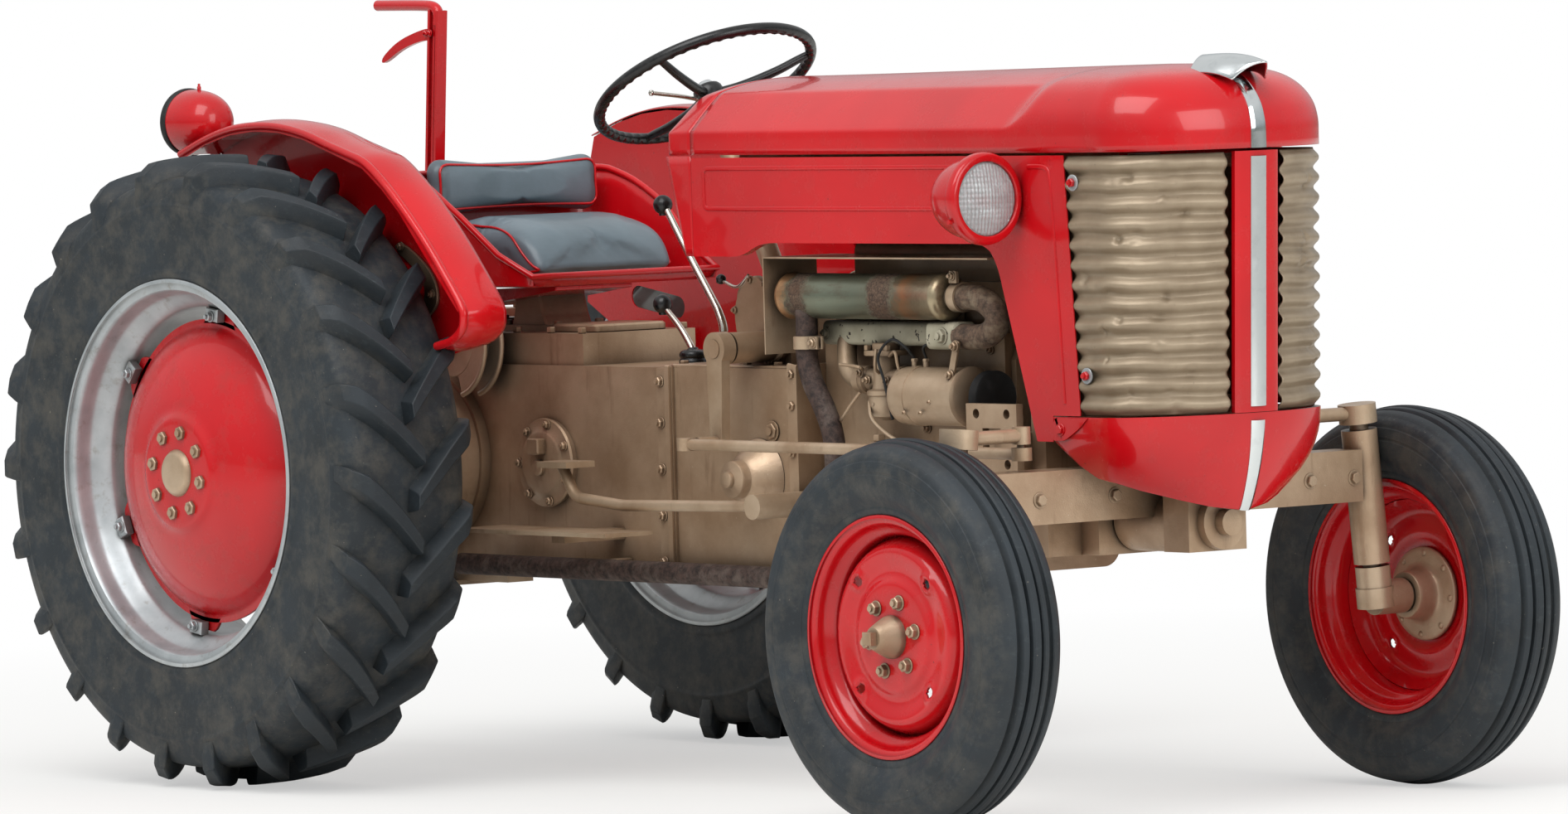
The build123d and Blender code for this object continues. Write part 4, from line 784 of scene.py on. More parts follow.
def hood_side(x):
    """Right half sections at stations along x: rows of points from the seam to the centre line."""
    shoulder, full = np.array(shoulder_section), np.array(full_section)
    ends = front_x + np.interp(np.arange(12), [0, 3, 7, 11], [-70, -60, -30, -20])
    rows = []
    for station in x:
        share = step_up(station, ends - 75, ends)[:, None]
        section = shoulder * (1 - share) + full * share
        top = hood_top - 13 * (1 - step_up(station, hood_rear - 60, nose_start + 300) ** 0.9)
        section = section * (body_half, 1)
        section[:, 1] = seam_z + section[:, 1] * (1 + (top - hood_top) / 157 * (section[:, 1] / 157))
        line = soften(section, 2)
        rows.append(np.column_stack([np.full(len(line), station), -line[:, 0], line[:, 1]]))
    return np.array(rows)


def nose_outline(angle):
    """Plan of the nose: straight to the nose's start, then a half ellipse, read by an even parameter."""
    straight = 0.28
    bend = np.clip((angle - straight) / (1 - straight), 0, 1) * np.pi / 2
    on_side = fan_x + (nose_start - fan_x) * angle / straight
    on_bend = nose_start + (nose_x - nose_start) * np.sin(bend)
    return np.where(angle < straight, on_side, on_bend), -body_half * np.cos(bend)


def hood_nose(count):
    """Right half of the nose: rays from the plan outline in to the end of the top's centre line."""
    angle = np.linspace(0, 1, count)
    out_x, out_y = nose_outline(angle)
    side = soften(np.array(full_section), 2)
    front = soften(np.array(nose_section), 2)
    top_gain = hood_side([fan_x])[0][-1][2] - (seam_z + 157)
    rows = []
    for a, x, y in zip(angle, out_x, out_y):
        line = side * (1 - step_up(a, 0, 0.9)) + front * step_up(a, 0, 0.9)
        z = seam_z + line[:, 1] + top_gain * (line[:, 1] / 157) ** 2
        rows.append(np.column_stack([fan_x + (x - fan_x) * line[:, 0], y * line[:, 0], z]))
    return np.array(rows)


straight_rows = hood_side(np.linspace(hood_rear, fan_x, 90))
nose_rows = hood_nose(56)
right_rows = np.vstack([straight_rows, nose_rows[1:]])
left_rows = (right_rows * (1, -1, 1))[::-1]
red_body = red_enamel("red enamel on body sheet", 0.12)
hood = build("hood_form", [sheet(right_rows), sheet(left_rows)], red_body, 28, merge=0.05)
thicken(hood, 0.0025)
settle(hood, "hood", body="hood")


# Scuttle
# The fixed sheet behind the hood, rounded down at its rear to a dash. The real dash is padded and black-faced;
# here it is a plain sheet in the same red enamel.

scuttle_x = np.array([972.0, 960, 948, 936, 924, 913, 905, 899, 896])
scuttle_drop = np.array([0, 0.5, 1.5, 3.5, 7, 12, 18, 27, 36])
scuttle_rows = []
for x, drop in zip(scuttle_x, scuttle_drop):
    row = hood_side([hood_rear])[0].copy()
    over = np.clip((row[:, 2] - (seam_z + 38)) / 119, 0, 1)
    row[:, 0] = x
    row[:, 2] -= drop * over
    row[:, 1] *= 1 - 0.22 * drop / body_half
    scuttle_rows.append(row)
scuttle_rows = np.array(scuttle_rows)
skirt_z = np.linspace(1026, seam_z - 2, 12)
skirt = []
for z in skirt_z:
    rear = np.interp(z, [1026, 1216], [950, 896])
    skirt.append([(x, -body_half, z) for x in np.linspace(rear, 972, 8)])
skirt = np.array(skirt)
both = [sheet(scuttle_rows), sheet(scuttle_rows * (1, -1, 1)), sheet(skirt), sheet(skirt * (1, -1, 1))]
scuttle = build("scuttle_form", both, red_body, 28, merge=0.05)
thicken(scuttle, 0.0025)
dash_edge = scuttle_rows[-1]
dash_line = np.vstack([dash_edge, (dash_edge * (1, -1, 1))[::-1]])
inside = np.mean(dash_line, 0)
dash_grid = np.array([inside + (dash_line - inside) * s for s in (0.985, 0.8, 0.5, 0.25, 0.01)])
dash_grid[1:, :, 0] += 10
dash = build("dash_form", [sheet(dash_grid, False, True)], red_body, 30)
settle(scuttle, "cowl")
settle(dash)


# Side sheets
# Flat pressed sheets between the scuttle and the grille, with a deep leg at the front and rounded pressed
# beads. The edge over the engine is folded inwards.


def rounded_outline(corners, radii, steps=5):
    """A closed outline whose corners are arcs of the given radii, as quadratic curves through the corner."""
    corners = np.asarray(corners, float)
    before, after = np.roll(corners, 1, 0), np.roll(corners, -1, 0)
    line = []
    for corner, back, ahead, radius in zip(corners, before, after, radii):
        if not radius:
            line.append(corner[None])
            continue
        start = corner + (back - corner) / np.linalg.norm(back - corner) * radius
        end = corner + (ahead - corner) / np.linalg.norm(ahead - corner) * radius
        t = np.linspace(0, 1, steps + 1)[:, None]
        line.append((1 - t) ** 2 * start + 2 * t * (1 - t) * corner + t**2 * end)
    return np.vstack(line)


def rounded_box(left, low, right, high, radius, steps=5):
    """A rectangle whose corners are rounded."""
    corners = [(left, low), (right, low), (right, high), (left, high)]
    return rounded_outline(corners, [radius] * 4, steps)


def tube_along(line, radius, sides=10, flat=1.0, up=(0.0, 0.0, 1.0), closed=False, taper=None):
    """A round section carried along a line of points. Across and over directions come from the line's run
    and an up direction, and the section may be flattened or tapered."""
    line = np.asarray(line, float)
    if closed:
        run = np.roll(line, -1, 0) - np.roll(line, 1, 0)
    else:
        run = np.gradient(line, axis=0)
    run /= np.linalg.norm(run, axis=1)[:, None]
    across = np.cross(run, np.asarray(up, float))
    size = np.linalg.norm(across, axis=1)
    across[size < 1e-3] = (0.0, 1.0, 0.0)
    across /= np.linalg.norm(across, axis=1)[:, None]
    over = np.cross(across, run)
    angle = np.linspace(0, 2 * np.pi, sides, endpoint=False)[None, :, None]
    reach = np.full(len(line), 1.0) if taper is None else np.asarray(taper, float)
    ring = across[:, None] * np.cos(angle) * radius + over[:, None] * np.sin(angle) * radius * flat
    points, faces = sheet(line[:, None] + ring * reach[:, None, None], closed, True)
    return (points, faces) if closed else with_ends((points, faces), sides)


def curve_through(points, steps=8):
    """A smooth line through points, by the Catmull-Rom cubic of each point and its neighbours."""
    p = np.asarray(points, float)
    p = np.vstack([2 * p[0] - p[1], p, 2 * p[-1] - p[-2]])
    t = np.linspace(0, 1, steps, endpoint=False)[:, None]
    runs = []
    for a, b, c, d in zip(p[:-3], p[1:-2], p[2:-1], p[3:]):
        square, cube = 2 * a - 5 * b + 4 * c - d, 3 * b - a - 3 * c + d
        runs.append(0.5 * (2 * b + (c - a) * t + square * t**2 + cube * t**3))
    return np.vstack(runs + [p[-2][None]])


sideways = (0.0, 1.0, 0.0)
leg_corners = [(-190, 1052), (-158, 1024), (-54, 690), (-9, 690), (-7, 738), (70, 738), (40, 1214)]
panel_corners = [(973, 1214), (973, 1026), (1118, 1026), (1181, 1052)]
panel_corners += [(front_x + x, z) for x, z in leg_corners]
panel_radii = [0, 4, 24, 30, 30, 34, 3, 2, 2, 2, 0]
panel_outline = rounded_outline(panel_corners, panel_radii, 6)
side_sheet = prism(panel_outline, -body_half, -body_half + 2.5)
opening = np.array([(x, z) for x, z in panel_outline if 1110 < x < front_x - 50 and 692 < z < 1060])
fold = np.stack([across_at(opening, -body_half + inwards) for inwards in (0.5, 8, 16)])
bead_top = [(1010, 1187), (1015, 1193), (1030, 1194), (front_x - 190, 1194)]
bead_low = [(1010, 1187), (1010, 1125), (1015, 1118), (1030, 1117), (front_x - 190, 1117)]
leg_bead = [(front_x - 60, 1194), (front_x - 12, 1194), (front_x + 2, 1180), (front_x + 26, 760)]
bead_shapes = []
for line in (bead_top, bead_low, leg_bead):
    path = across_at(soften(line, 2), -body_half - 0.2)
    bead_shapes.append(tube_along(path, 4.5, 8, 0.55, up=sideways))
for side, node in (("right", "side_panels"), ("left", None)):
    shapes = [side_sheet, sheet(fold), *bead_shapes]
    panel = build(f"side_sheet_{side}", shapes, red_body, 32, flip=side == "left")
    settle(panel, node)


# Grille
# Two corrugated steel sheets bent round the nose, sprayed warm beige, with thirteen ridges each.
# Decades of knocks have dented the ridges. Four red bolts hold them.

grille_foot, grille_top = 738.0, 1213.0
ridges = 13
ridge_depth = 11.0
bar_half = 52.0


def nose_plan_at(z, share):
    """Point and outward direction on the grille's plan at a height: from the side edge, share 0, along the
    straight side and round the ellipse to the centre line, share 1."""
    up = (z - grille_foot) / (grille_top - grille_foot)
    start = nose_start - 9 + 9 * up
    front = nose_x - 21 + 19 * up
    rear = front_x + 71 - 31 * up
    run = start - rear
    bend_length = 330.0
    along = share * (run + bend_length)
    on_side = along < run
    bend = np.clip((along - run) / bend_length, 0, 1) * np.pi / 2
    x = np.where(on_side, rear + along, start + (front - start) * np.sin(bend))
    y = np.where(on_side, -body_half, -body_half * np.cos(bend))
    out_x = np.where(on_side, 0.0, np.sin(bend) * body_half)
    out_y = np.where(on_side, -1.0, -np.cos(bend) * (front - start))
    size = np.hypot(out_x, out_y)
    return x, y, out_x / size, out_y / size


def corrugated(seed, rows=160, columns=84):
    """The ridges are a cosine of the height, sharpened in the valleys. Dents push in by a bell curve and
    drag the ridges down or up with them."""
    dice = np.random.default_rng(seed)
    z = np.linspace(grille_foot, grille_top, rows)[:, None]
    share = np.linspace(0, 0.862, columns)[None, :]
    z, share = np.broadcast_arrays(z, share)
    shift = 1.0 * np.sin(share * 9 + z / 95 + seed) + 0.7 * np.sin(share * 23 - z / 47)
    push = 0.3 * np.sin(share * 31 + z / 29 + seed)
    for _ in range(34):
        where, level = dice.uniform(0.04, 0.84), dice.uniform(grille_foot + 15, grille_top - 25)
        wide, tall = dice.uniform(0.010, 0.035), dice.uniform(5, 13)
        deep = dice.uniform(-5.0, 0.5)
        bell = np.exp(-(((share - where) / wide) ** 2) - ((z - level) / tall) ** 2)
        push = push + deep * bell
        shift = shift + dice.uniform(-5, 5) * bell
    phase = 2 * np.pi * ridges * (z + shift - grille_foot) / (grille_top - grille_foot)
    wave = 1 - ((1 + np.cos(phase)) / 2) ** 1.2
    x, y, out_x, out_y = nose_plan_at(z, share)
    depth = (wave - 1) * ridge_depth + push
    return np.stack([x + out_x * depth, y + out_y * depth, z], -1)


def beige_sheet_paint():
    """Satin beige metallic enamel on thin sheet: painted shade darkens the valleys, so the ridges look paler, with
    a few dark chips.
    """
    material, tree = start_material("beige enamel on corrugated sheet")
    patches = object_noise(tree, 60, 5)
    base = blend_colours(tree, mask(tree, patches, 0.35, 0.7), "#a08f78", "#8d7c66")
    # Painted shade: a darker beige in the corrugation valleys, where the surroundings hide a point.
    base = blend_colours(tree, painted_corner_shade(tree, 0.03, 0.95), base, "#5c4d3a")
    chips = mask(tree, object_noise(tree, 6, 3), 0.70, 0.75, 0.6)
    base = blend_colours(tree, chips, base, "#54442f")
    normal = bump(tree, object_noise(tree, 4, 3), 0.3, 0.3)
    finish_material(tree, {"Base Color": base, "Metallic": 0.3, "Roughness": 0.4, "Normal": normal})
    return material


beige_sheet = beige_sheet_paint()
for side, seed, node in (("right", 5, "grille"), ("left", 11, None)):
    grille = build(f"grille_form_{side}", [sheet(corrugated(seed))], beige_sheet, 50, flip=side == "left")
    thicken(grille, 0.002)
    settle(grille, node)


# Grille bolts
# Four red hexagon bolts on wide steel washers hold the grille, with a fifth screw in the chin's ear.

bolt_shapes, washer_shapes = [], []
for z, x in ((1164, front_x + 66), (812, front_x + 92)):
    face = -body_half
    bolt_shapes.append(prism(hexagon((x, z), 8.5), face - 9, face - 1.5, chamfer=1.2))
    bolt_shapes.append(prism(disc_outline((x, z), 4.5, 12), face - 13, face - 8))
    washer_shapes.append(prism(disc_outline((x, z), 15, 28), face - 2.5, face + 1, chamfer=0.7))
build_pair("grille_bolts", bolt_shapes, red_body, 30)
build_pair("grille_washers", washer_shapes, silver_paint, 30)


# Centre bar and chin
# A red strip covers the joint of the grille's halves. Under it hangs a pressed bowl that is cut away behind
# for the axle, with an ear and a screw on each side.


def front_at(y, z):
    """The nose's plan at a place across, by the ellipse of the grille at that height."""
    up = (z - grille_foot) / (grille_top - grille_foot)
    start, front = nose_start - 9 + 9 * up, nose_x - 21 + 19 * up
    return start + (front - start) * np.sqrt(1 - (np.asarray(y) / body_half) ** 2)


bar_z = np.linspace(grille_foot - 1, grille_top + 1, 24)
across = np.linspace(-bar_half, bar_half, 15)
bar_rows = []
for z in bar_z:
    face = np.column_stack([front_at(across, z) + 1.0, across, np.full(15, z)])
    face[[0, -1], 0] -= 2.5
    back = face[::-1].copy()
    back[:, 0] -= 9
    bar_rows.append(np.vstack([face, back]))
bar_rows = np.array(bar_rows)
bar_form = build("grille_bar_form", [sheet(bar_rows, False, True)], red_body, 32)
settle(bar_form, "grille_bar")

chin_levels = np.array([736, 722, 706, 690, 668, 645, 622, 600, 580, 566, 558.0])
level_at = [556, 600, 645, 690, 735]
chin_half = np.interp(chin_levels, level_at, [120, 200, 240, 253, 254])
chin_back = np.interp(chin_levels, level_at, [66, 46, 32, 24, 21])
chin_start = np.interp(chin_levels, level_at, [70, 55, 30, 12, 9])
rear_edge = np.interp(chin_levels, [557, 594, 625, 672, 690, 736], [227, 161, 64, 15, -7, -7]) + front_x


def bend_line(values):
    """Evens out a run of values: each inner value moves half way to the mean of its neighbours, twice."""
    values = values.copy()
    for _ in range(2):
        values[1:-1] = 0.5 * values[1:-1] + 0.25 * (values[:-2] + values[2:])
    return values


chin_half, chin_back, chin_start = bend_line(chin_half), bend_line(chin_back), bend_line(chin_start)
chin_rows = []
for z, half, back, inset, rear in zip(chin_levels, chin_half, chin_back, chin_start, rear_edge):
    start, front = nose_start - inset, nose_x - back
    straight = np.linspace(min(rear, start), start, 12, endpoint=False)
    first = math.asin(np.clip((rear - start) / (front - start), 0, 0.999)) if rear > start else 0.0
    bend = np.linspace(first, np.pi / 2, 44)
    on_side = np.maximum(straight, rear) if rear < start else np.full(12, rear)
    x = np.concatenate([on_side, start + (front - start) * np.sin(bend)])
    y = np.concatenate([np.full(12, -half * math.cos(first)), -half * np.cos(bend)])
    chin_rows.append(np.column_stack([x, y, np.full(len(x), z)]))
chin_rows = np.array(chin_rows)
bottom = chin_rows[-1]
floor_rows = [bottom + (bottom[0] * (1, 0, 1) - bottom) * s for s in (0.12, 0.4, 1.0)]
lip_in = chin_rows[0] + (np.array([front_x + 60, 0, 736]) - chin_rows[0]) * (0.05, 0.05, 0)
chin_right = np.vstack([lip_in[None], chin_rows, floor_rows])
chin_left = (chin_right * (1, -1, 1))[::-1]
chin_form = build("chin_form", [sheet(chin_right), sheet(chin_left)], red_body, 40, merge=0.05)
thicken(chin_form, 0.0025)
settle(chin_form, "chin")

ear_corners = np.array([(-6, 692), (-6, 731), (6, 735), (92, 735), (70, 716), (24, 692)]) + (front_x, 0)
ear = rounded_outline(ear_corners, [4, 12, 8, 3, 20, 8])
screw = (front_x + 16, 713)
ear_shapes = [prism(ear, -body_half - 3, -body_half + 1, chamfer=1.5)]
ear_shapes.append(prism(disc_outline(screw, 12), -body_half - 5, -body_half - 2, chamfer=0.8))
ear_shapes.append(prism(hexagon(screw, 8.5), -body_half - 10, -body_half - 4, chamfer=1.2))
build_pair("chin_ear", ear_shapes, red_body, 32)


# Bright trim
# Polished strips run down the middle of the nose, the bar and the chin, under a winged ornament whose
# plating has dulled and lifted at the rear edge.


def bright_metal():
    """Polished plating with faint haze and fine scratches. Metal keeps its default IOR."""
    material, tree = start_material("polished bright trim")
    rough = mask(tree, object_noise(tree, 60, 5), 0.45, 0.7, 0.21, 0.09)
    dull = mask(tree, object_noise(tree, 25, 4), 0.55, 0.7, 0.3)
    base = blend_colours(tree, dull, "#d9dedf", "#b9bfc2")
    scratches = bump(tree, object_noise(tree, 2, 4, 0.6, (6, 1, 1)), 0.05, 0.15)
    finish_material(tree, {"Base Color": base, "Metallic": 1.0, "Roughness": rough, "Normal": scratches})
    return material


chrome = bright_metal()


def strip_down(path, half, rise):
    """A bright strip along a path of (x, z) down the nose's middle. Across, it is crowned by a blend of a
    square and a fourth power and bowed with the nose, and it is closed behind."""
    path = np.asarray(path, float)
    half = np.broadcast_to(half, len(path)).astype(float)
    run = np.gradient(path, axis=0)
    run /= np.linalg.norm(run, axis=1)[:, None]
    out = np.column_stack([-run[:, 1], run[:, 0]])
    share = np.linspace(-1, 1, 11)
    lift = rise * (1 - share**4) * 0.55 + rise * 0.45 * (1 - share**2)
    rows = []
    for point, side, width in zip(path, out, half):
        bow = (nose_x - nose_start) * (np.sqrt(1 - (share * width / body_half) ** 2) - 1)
        place = point + side * (lift + bow * abs(side[0]) + 1.2)[:, None]
        face = np.column_stack([place[:, 0], share * width, place[:, 1]])
        back = face[::-1].copy()
        back[:, [0, 2]] -= side * 5
        rows.append(np.vstack([face, back]))
    return with_ends(sheet(np.array(rows), False, True), 2 * len(share))


cap_path = np.array([(x, z) for x, y, z in nose_rows[-1] if x > front_x + 165][::-1])
cap_path = cap_path[np.argsort(-cap_path[:, 1])]
bar_path = np.array([(front_at(0, z) + 1.0, z) for z in np.linspace(1204, 748, 40)])
low_path = np.array([(r[-1][0], r[-1][2]) for r in chin_rows if r[-1][2] < 731])
low_widths = np.interp(low_path[:, 1], [560, 730], [13, 17])
cap_widths = np.linspace(15, 18.5, len(cap_path))
cap_strip = build("nose_strip", [strip_down(cap_path, cap_widths, 3.5)], chrome, 40)
bar_strip = build("bar_strip", [strip_down(bar_path, 18.5, 4)], chrome, 40)
chin_strip = build("chin_strip", [strip_down(low_path, low_widths, 3.5)], chrome, 40)
settle(cap_strip, body="hood")
settle(bar_strip)
settle(chin_strip)

wing_across = np.linspace(-1, 1, 26)
wing_out = np.abs(wing_across)
wing_rear = front_x + 145 + 28 * wing_out**0.8
wing_front = front_x + 316 - 46 * wing_out**1.5
wing_top = 1387 - 33 * wing_out**2.2
wing_rows = []
for s in np.linspace(0, 1, 18):
    droop = 5 * np.sin(np.pi * s) - 11 * s**3 + 3 * (1 - s) ** 3
    x = wing_rear + (wing_front - wing_rear) * s
    wing_rows.append(np.column_stack([x, 62 * wing_across * (1 - 0.32 * s**2), wing_top + droop]))
wing = build("ornament_form", [sheet(np.array(wing_rows))], chrome, 50)
thicken(wing, 0.004)
edge = wing.modifiers.new("soft edges", "BEVEL")
edge.width, edge.segments, edge.limit_method = 0.0015, 2, "ANGLE"
settle(wing, "hood_ornament", body="hood")


# Headlamps
# Red pressed bowls on a short arm out of each side sheet. The lens is clear glass with moulded flutes in
# a grid over a bright reflector.

_, lamp_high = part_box("headlamps")
lamp_x = (lamp_high.x - axle_x) * 1000 - 18
lamp_y, lamp_z, lamp_r = -340.0, 1138.0, 67.5
lamp_centre = (0.0, lamp_y, lamp_z)
bowl_profile = [(0.1, -118), (24, -117), (46, -106), (62, -86), (72, -60), (77, -30), (78, -21), (81, -20)]
bowl_profile += [(84.5, -17), (86, -8), (84.5, 2), (79, 6), (70, 6), (68, 3), (68, -6)]
bowl_inside = [(64, -6), (60, -20), (40, -60), (0.1, -72)]
bowl_line = np.vstack([soften(bowl_profile, 2), np.array(bowl_inside)]) + (0, lamp_x)
lamp_bowl = lathe(bowl_line, lamp_centre, 96, axis="x")
reflector_line = soften([(67, -4), (60, -18), (44, -44), (24, -58), (0.1, -62)], 2) + (0, lamp_x)
reflector = lathe(reflector_line, lamp_centre, 72, axis="x")
arm_line = [(lamp_x - 50, -262, 1128), (lamp_x - 50, -290, 1130), (lamp_x - 46, -330, 1136)]
arm = tube_along(curve_through(arm_line, 6), 15, 16, up=(1.0, 0.0, 0.0))
foot_profile = soften([(0.1, -10), (22, -9), (32, -4), (34, 1), (0.1, 1)], 1) + (0, -body_half)
foot = lathe(foot_profile, (lamp_x - 50, 0, 1128), 36)
lug_screw = prism(hexagon((lamp_x - 10, lamp_z - 40), 5), lamp_y - 84, lamp_y - 76)


def fluted_lens():
    """A square grid pressed to a disc and crowned by a parabola. Its ribs are the sizes of two sines."""
    across = np.linspace(-1, 1, 97)
    y, z = np.meshgrid(across, across)
    square = np.stack([y, z], -1)
    disc = square * np.sqrt(1 - 0.5 * square[..., ::-1] ** 2)
    radius = np.linalg.norm(disc, axis=-1)
    crown = 9 * (1 - radius**2)
    flutes = 1.1 * np.abs(np.sin(disc[..., 0] * 27)) + 0.9 * np.abs(np.sin(disc[..., 1] * 22))
    x = lamp_x + crown + flutes * (radius < 0.97)
    return sheet(np.stack([x, disc[..., 0] * lamp_r + lamp_y, disc[..., 1] * lamp_r + lamp_z], -1))


def lamp_glass():
    """Clear moulded glass, typical IOR 1.52, slightly hazed by weather."""
    material, tree = start_material("clear fluted glass")
    rough = mask(tree, object_noise(tree, 30, 5), 0.45, 0.7, 0.14, 0.04)
    normal = bump(tree, object_noise(tree, 5, 2), 0.1, 0.1)
    looks = {"Base Color": linear("#eef3f4"), "Transmission Weight": 0.72, "IOR": 1.52}
    finish_material(tree, looks | {"Roughness": rough, "Normal": normal})
    return material


def reflector_metal():
    """Bright silvered reflector inside a lamp, dulled a little. Metal keeps its default IOR."""
    material, tree = start_material("silvered reflector")
    rough = mask(tree, object_noise(tree, 20, 4), 0.5, 0.7, 0.34, 0.14)
    finish_material(tree, {"Base Color": linear("#e2e5e4"), "Metallic": 1.0, "Roughness": rough})
    return material


lens_glass, silvered = lamp_glass(), reflector_metal()
lens_shape = fluted_lens()
for side, node in (("right", "headlamps"), ("left", None)):
    flip = side == "left"
    bowl = build(f"headlamp_bowl_{side}", [lamp_bowl, arm, foot, lug_screw], red_body, 35, flip=flip)
    mirror = build(f"headlamp_reflector_{side}", [reflector], silvered, 40, flip=flip)
    lens = build(f"headlamp_lens_{side}", [lens_shape], lens_glass, 50, flip=flip)
    thicken(lens, 0.0025)
    settle(bowl, node)
    settle(mirror)
    settle(lens)


# Fender crowns
# Red sheet crowns over the rear tyres with a rolled edge. The flat inner plates are bolted to the axle
# housings, and a bronze stay braces each one.

fender_line = [(-270, 1239), (-183, 1268), (-99, 1287), (-14, 1294), (68, 1291), (151, 1277), (231, 1254)]
fender_line += [(290, 1238), (347, 1220), (407, 1181), (463, 1135), (530, 1073), (590, 1009), (646, 943)]
fender_line += [(653, 914), (643, 892), (610, 872), (562, 861)]
fender_path = curve_through(fender_line, 6)
run = np.gradient(fender_path, axis=0)
run /= np.linalg.norm(run, axis=1)[:, None]
fender_out = np.column_stack([-run[:, 1], run[:, 0]])
crown_share = np.linspace(0, 1, 13)
crown_lift = 3.5 + 7 * np.sin(np.pi * crown_share) - 3.0 * crown_share
crown_y = -467 - 97 * crown_share
crown_place = fender_path[:, None, :] + fender_out[:, None, :] * crown_lift[None, :, None]
crown_across = np.broadcast_to(crown_y, crown_place.shape[:2])
crown_grid = np.stack([crown_place[..., 0], crown_across, crown_place[..., 1]], -1)
lip_line = across_at(fender_path - fender_out * 3.0, -565.0)
fender_lip = tube_along(lip_line, 8.5, 12, up=sideways)
stay_line = [(326, 1066), (404, 1026), (446, 984), (452, 944), (424, 918), (366, 892), (354, 910), (404, 944)]
stay_line += [(412, 968), (392, 1000), (356, 1024), (316, 1044)]
fender_stay = prism(soften(stay_line, 2, closed=True), -477, -470.4, chamfer=1.2)
stay_nuts = nuts_on_y([(338, 1052), (434, 960), (372, 904)], -477, -1, 7.5, 7)
edge_screws = nuts_on_y([(-210, 1226), (150, 1248), (500, 1064)], -470, -1, 6, 5)
for crown in build_pair("fender_crown", [sheet(crown_grid)], red_body, 50):
    thicken(crown, 0.0025)
build_pair("fender_lip", [fender_lip, *edge_screws], red_body, 50)
build_pair("fender_stay", [fender_stay, *stay_nuts], bronze_steel, 32)
paint_node("fenders", red_body)


# Rear work lamp
# A red pressed dome with a black rubber rim and a clear fluted glass, that faces back over the implement.

work_lamp_low, work_lamp_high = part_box("rear_lamp")
work_x = (work_lamp_low.x - axle_x) * 1000 + 14
work_z = (work_lamp_high.z * 1000) - 65
work_y = -505.0
work_centre = (work_x, work_y, work_z)
dome_line = soften([(0.1, 105), (20, 103), (40, 93), (54, 74), (62, 48), (65, 20), (65, 2), (61, 2)], 2)
dome = lathe(dome_line, work_centre, 80, axis="x")
rim_profile = soften([(58, 6), (66, 6), (68, 0), (68, -8), (64, -14), (58, -14), (56, -10)], 1)
work_rim = lathe(np.vstack([rim_profile, rim_profile[:1]]), work_centre, 80, axis="x")
work_glass_line = [(0.1, -12), (30, -11), (58, -6), (58, -3), (30, -8), (0.1, -9)]
work_glass = lathe(work_glass_line, work_centre, 60, axis="x")
work_mirror_line = soften([(58, -2), (50, 16), (30, 36), (0.1, 44)], 2)
work_mirror = lathe(work_mirror_line, work_centre, 60, axis="x")
pin_line = [(0.1, 63), (4, 63), (4, 70), (2.6, 72), (2.6, 76), (0.1, 77)]
pin = lathe(pin_line, (work_x + 34, work_y, work_z), 14, axis="z")
tab_line = np.array([(22, -149), (56, -149), (52, -12), (28, -12)]) + (work_x, work_z)
lamp_tab = prism(tab_line, -477, -470.3, chamfer=1)
stem_x = work_x + 43
stem_line = [(stem_x, work_y, work_z - 50), (stem_x, -492, work_z - 30), (stem_x, -470, work_z - 24)]
lamp_stem = tube_along(curve_through(stem_line, 6), 9, 14, up=(1.0, 0.0, 0.0))


def black_moulding(name, gloss):
    """Moulded black phenolic or rubber: deep black, handled to a shine, with grey scuffs and painted shade in
    corners.
    """
    material, tree = start_material(name)
    wear = object_noise(tree, 20, 5, 0.7)
    base = blend_colours(tree, mask(tree, wear, 0.5, 0.75, 0.45), "#121314", "#3b3c3c")
    # Painted shade: darker where the surroundings hide a point, as in corners.
    base = blend_colours(tree, painted_corner_shade(tree, 0.02, 0.5), base, "#231f1a")
    rough = mask(tree, wear, 0.3, 0.8, gloss + 0.25, gloss)
    normal = bump(tree, object_noise(tree, 3, 3, 0.6), 0.15, 0.3)
    finish_material(tree, {"Base Color": base, "Roughness": rough, "IOR": 1.5, "Normal": normal})
    return material


black_rubber = black_moulding("black moulded rubber", 0.5)
black_handle = black_moulding("glossy black phenolic", 0.2)
lamp_shell = build("rear_lamp_form", [dome, pin, lamp_tab, lamp_stem], red_body, 45)
lamp_ring = build("rear_lamp_rim", [work_rim], black_rubber, 45)
lamp_cover = build("rear_lamp_glass", [work_glass], lens_glass, 45)
lamp_mirror = build("rear_lamp_reflector", [work_mirror], silvered, 45)
settle(lamp_shell, "rear_lamp")
settle(lamp_ring)
settle(lamp_cover)
settle(lamp_mirror)


# Seat pan
# A deep pressed bucket in red enamel. Its flared sides sweep up to the back, and the rim is rolled over
# a wire all round. It stands on a cast pedestal with a bolted red bracket.

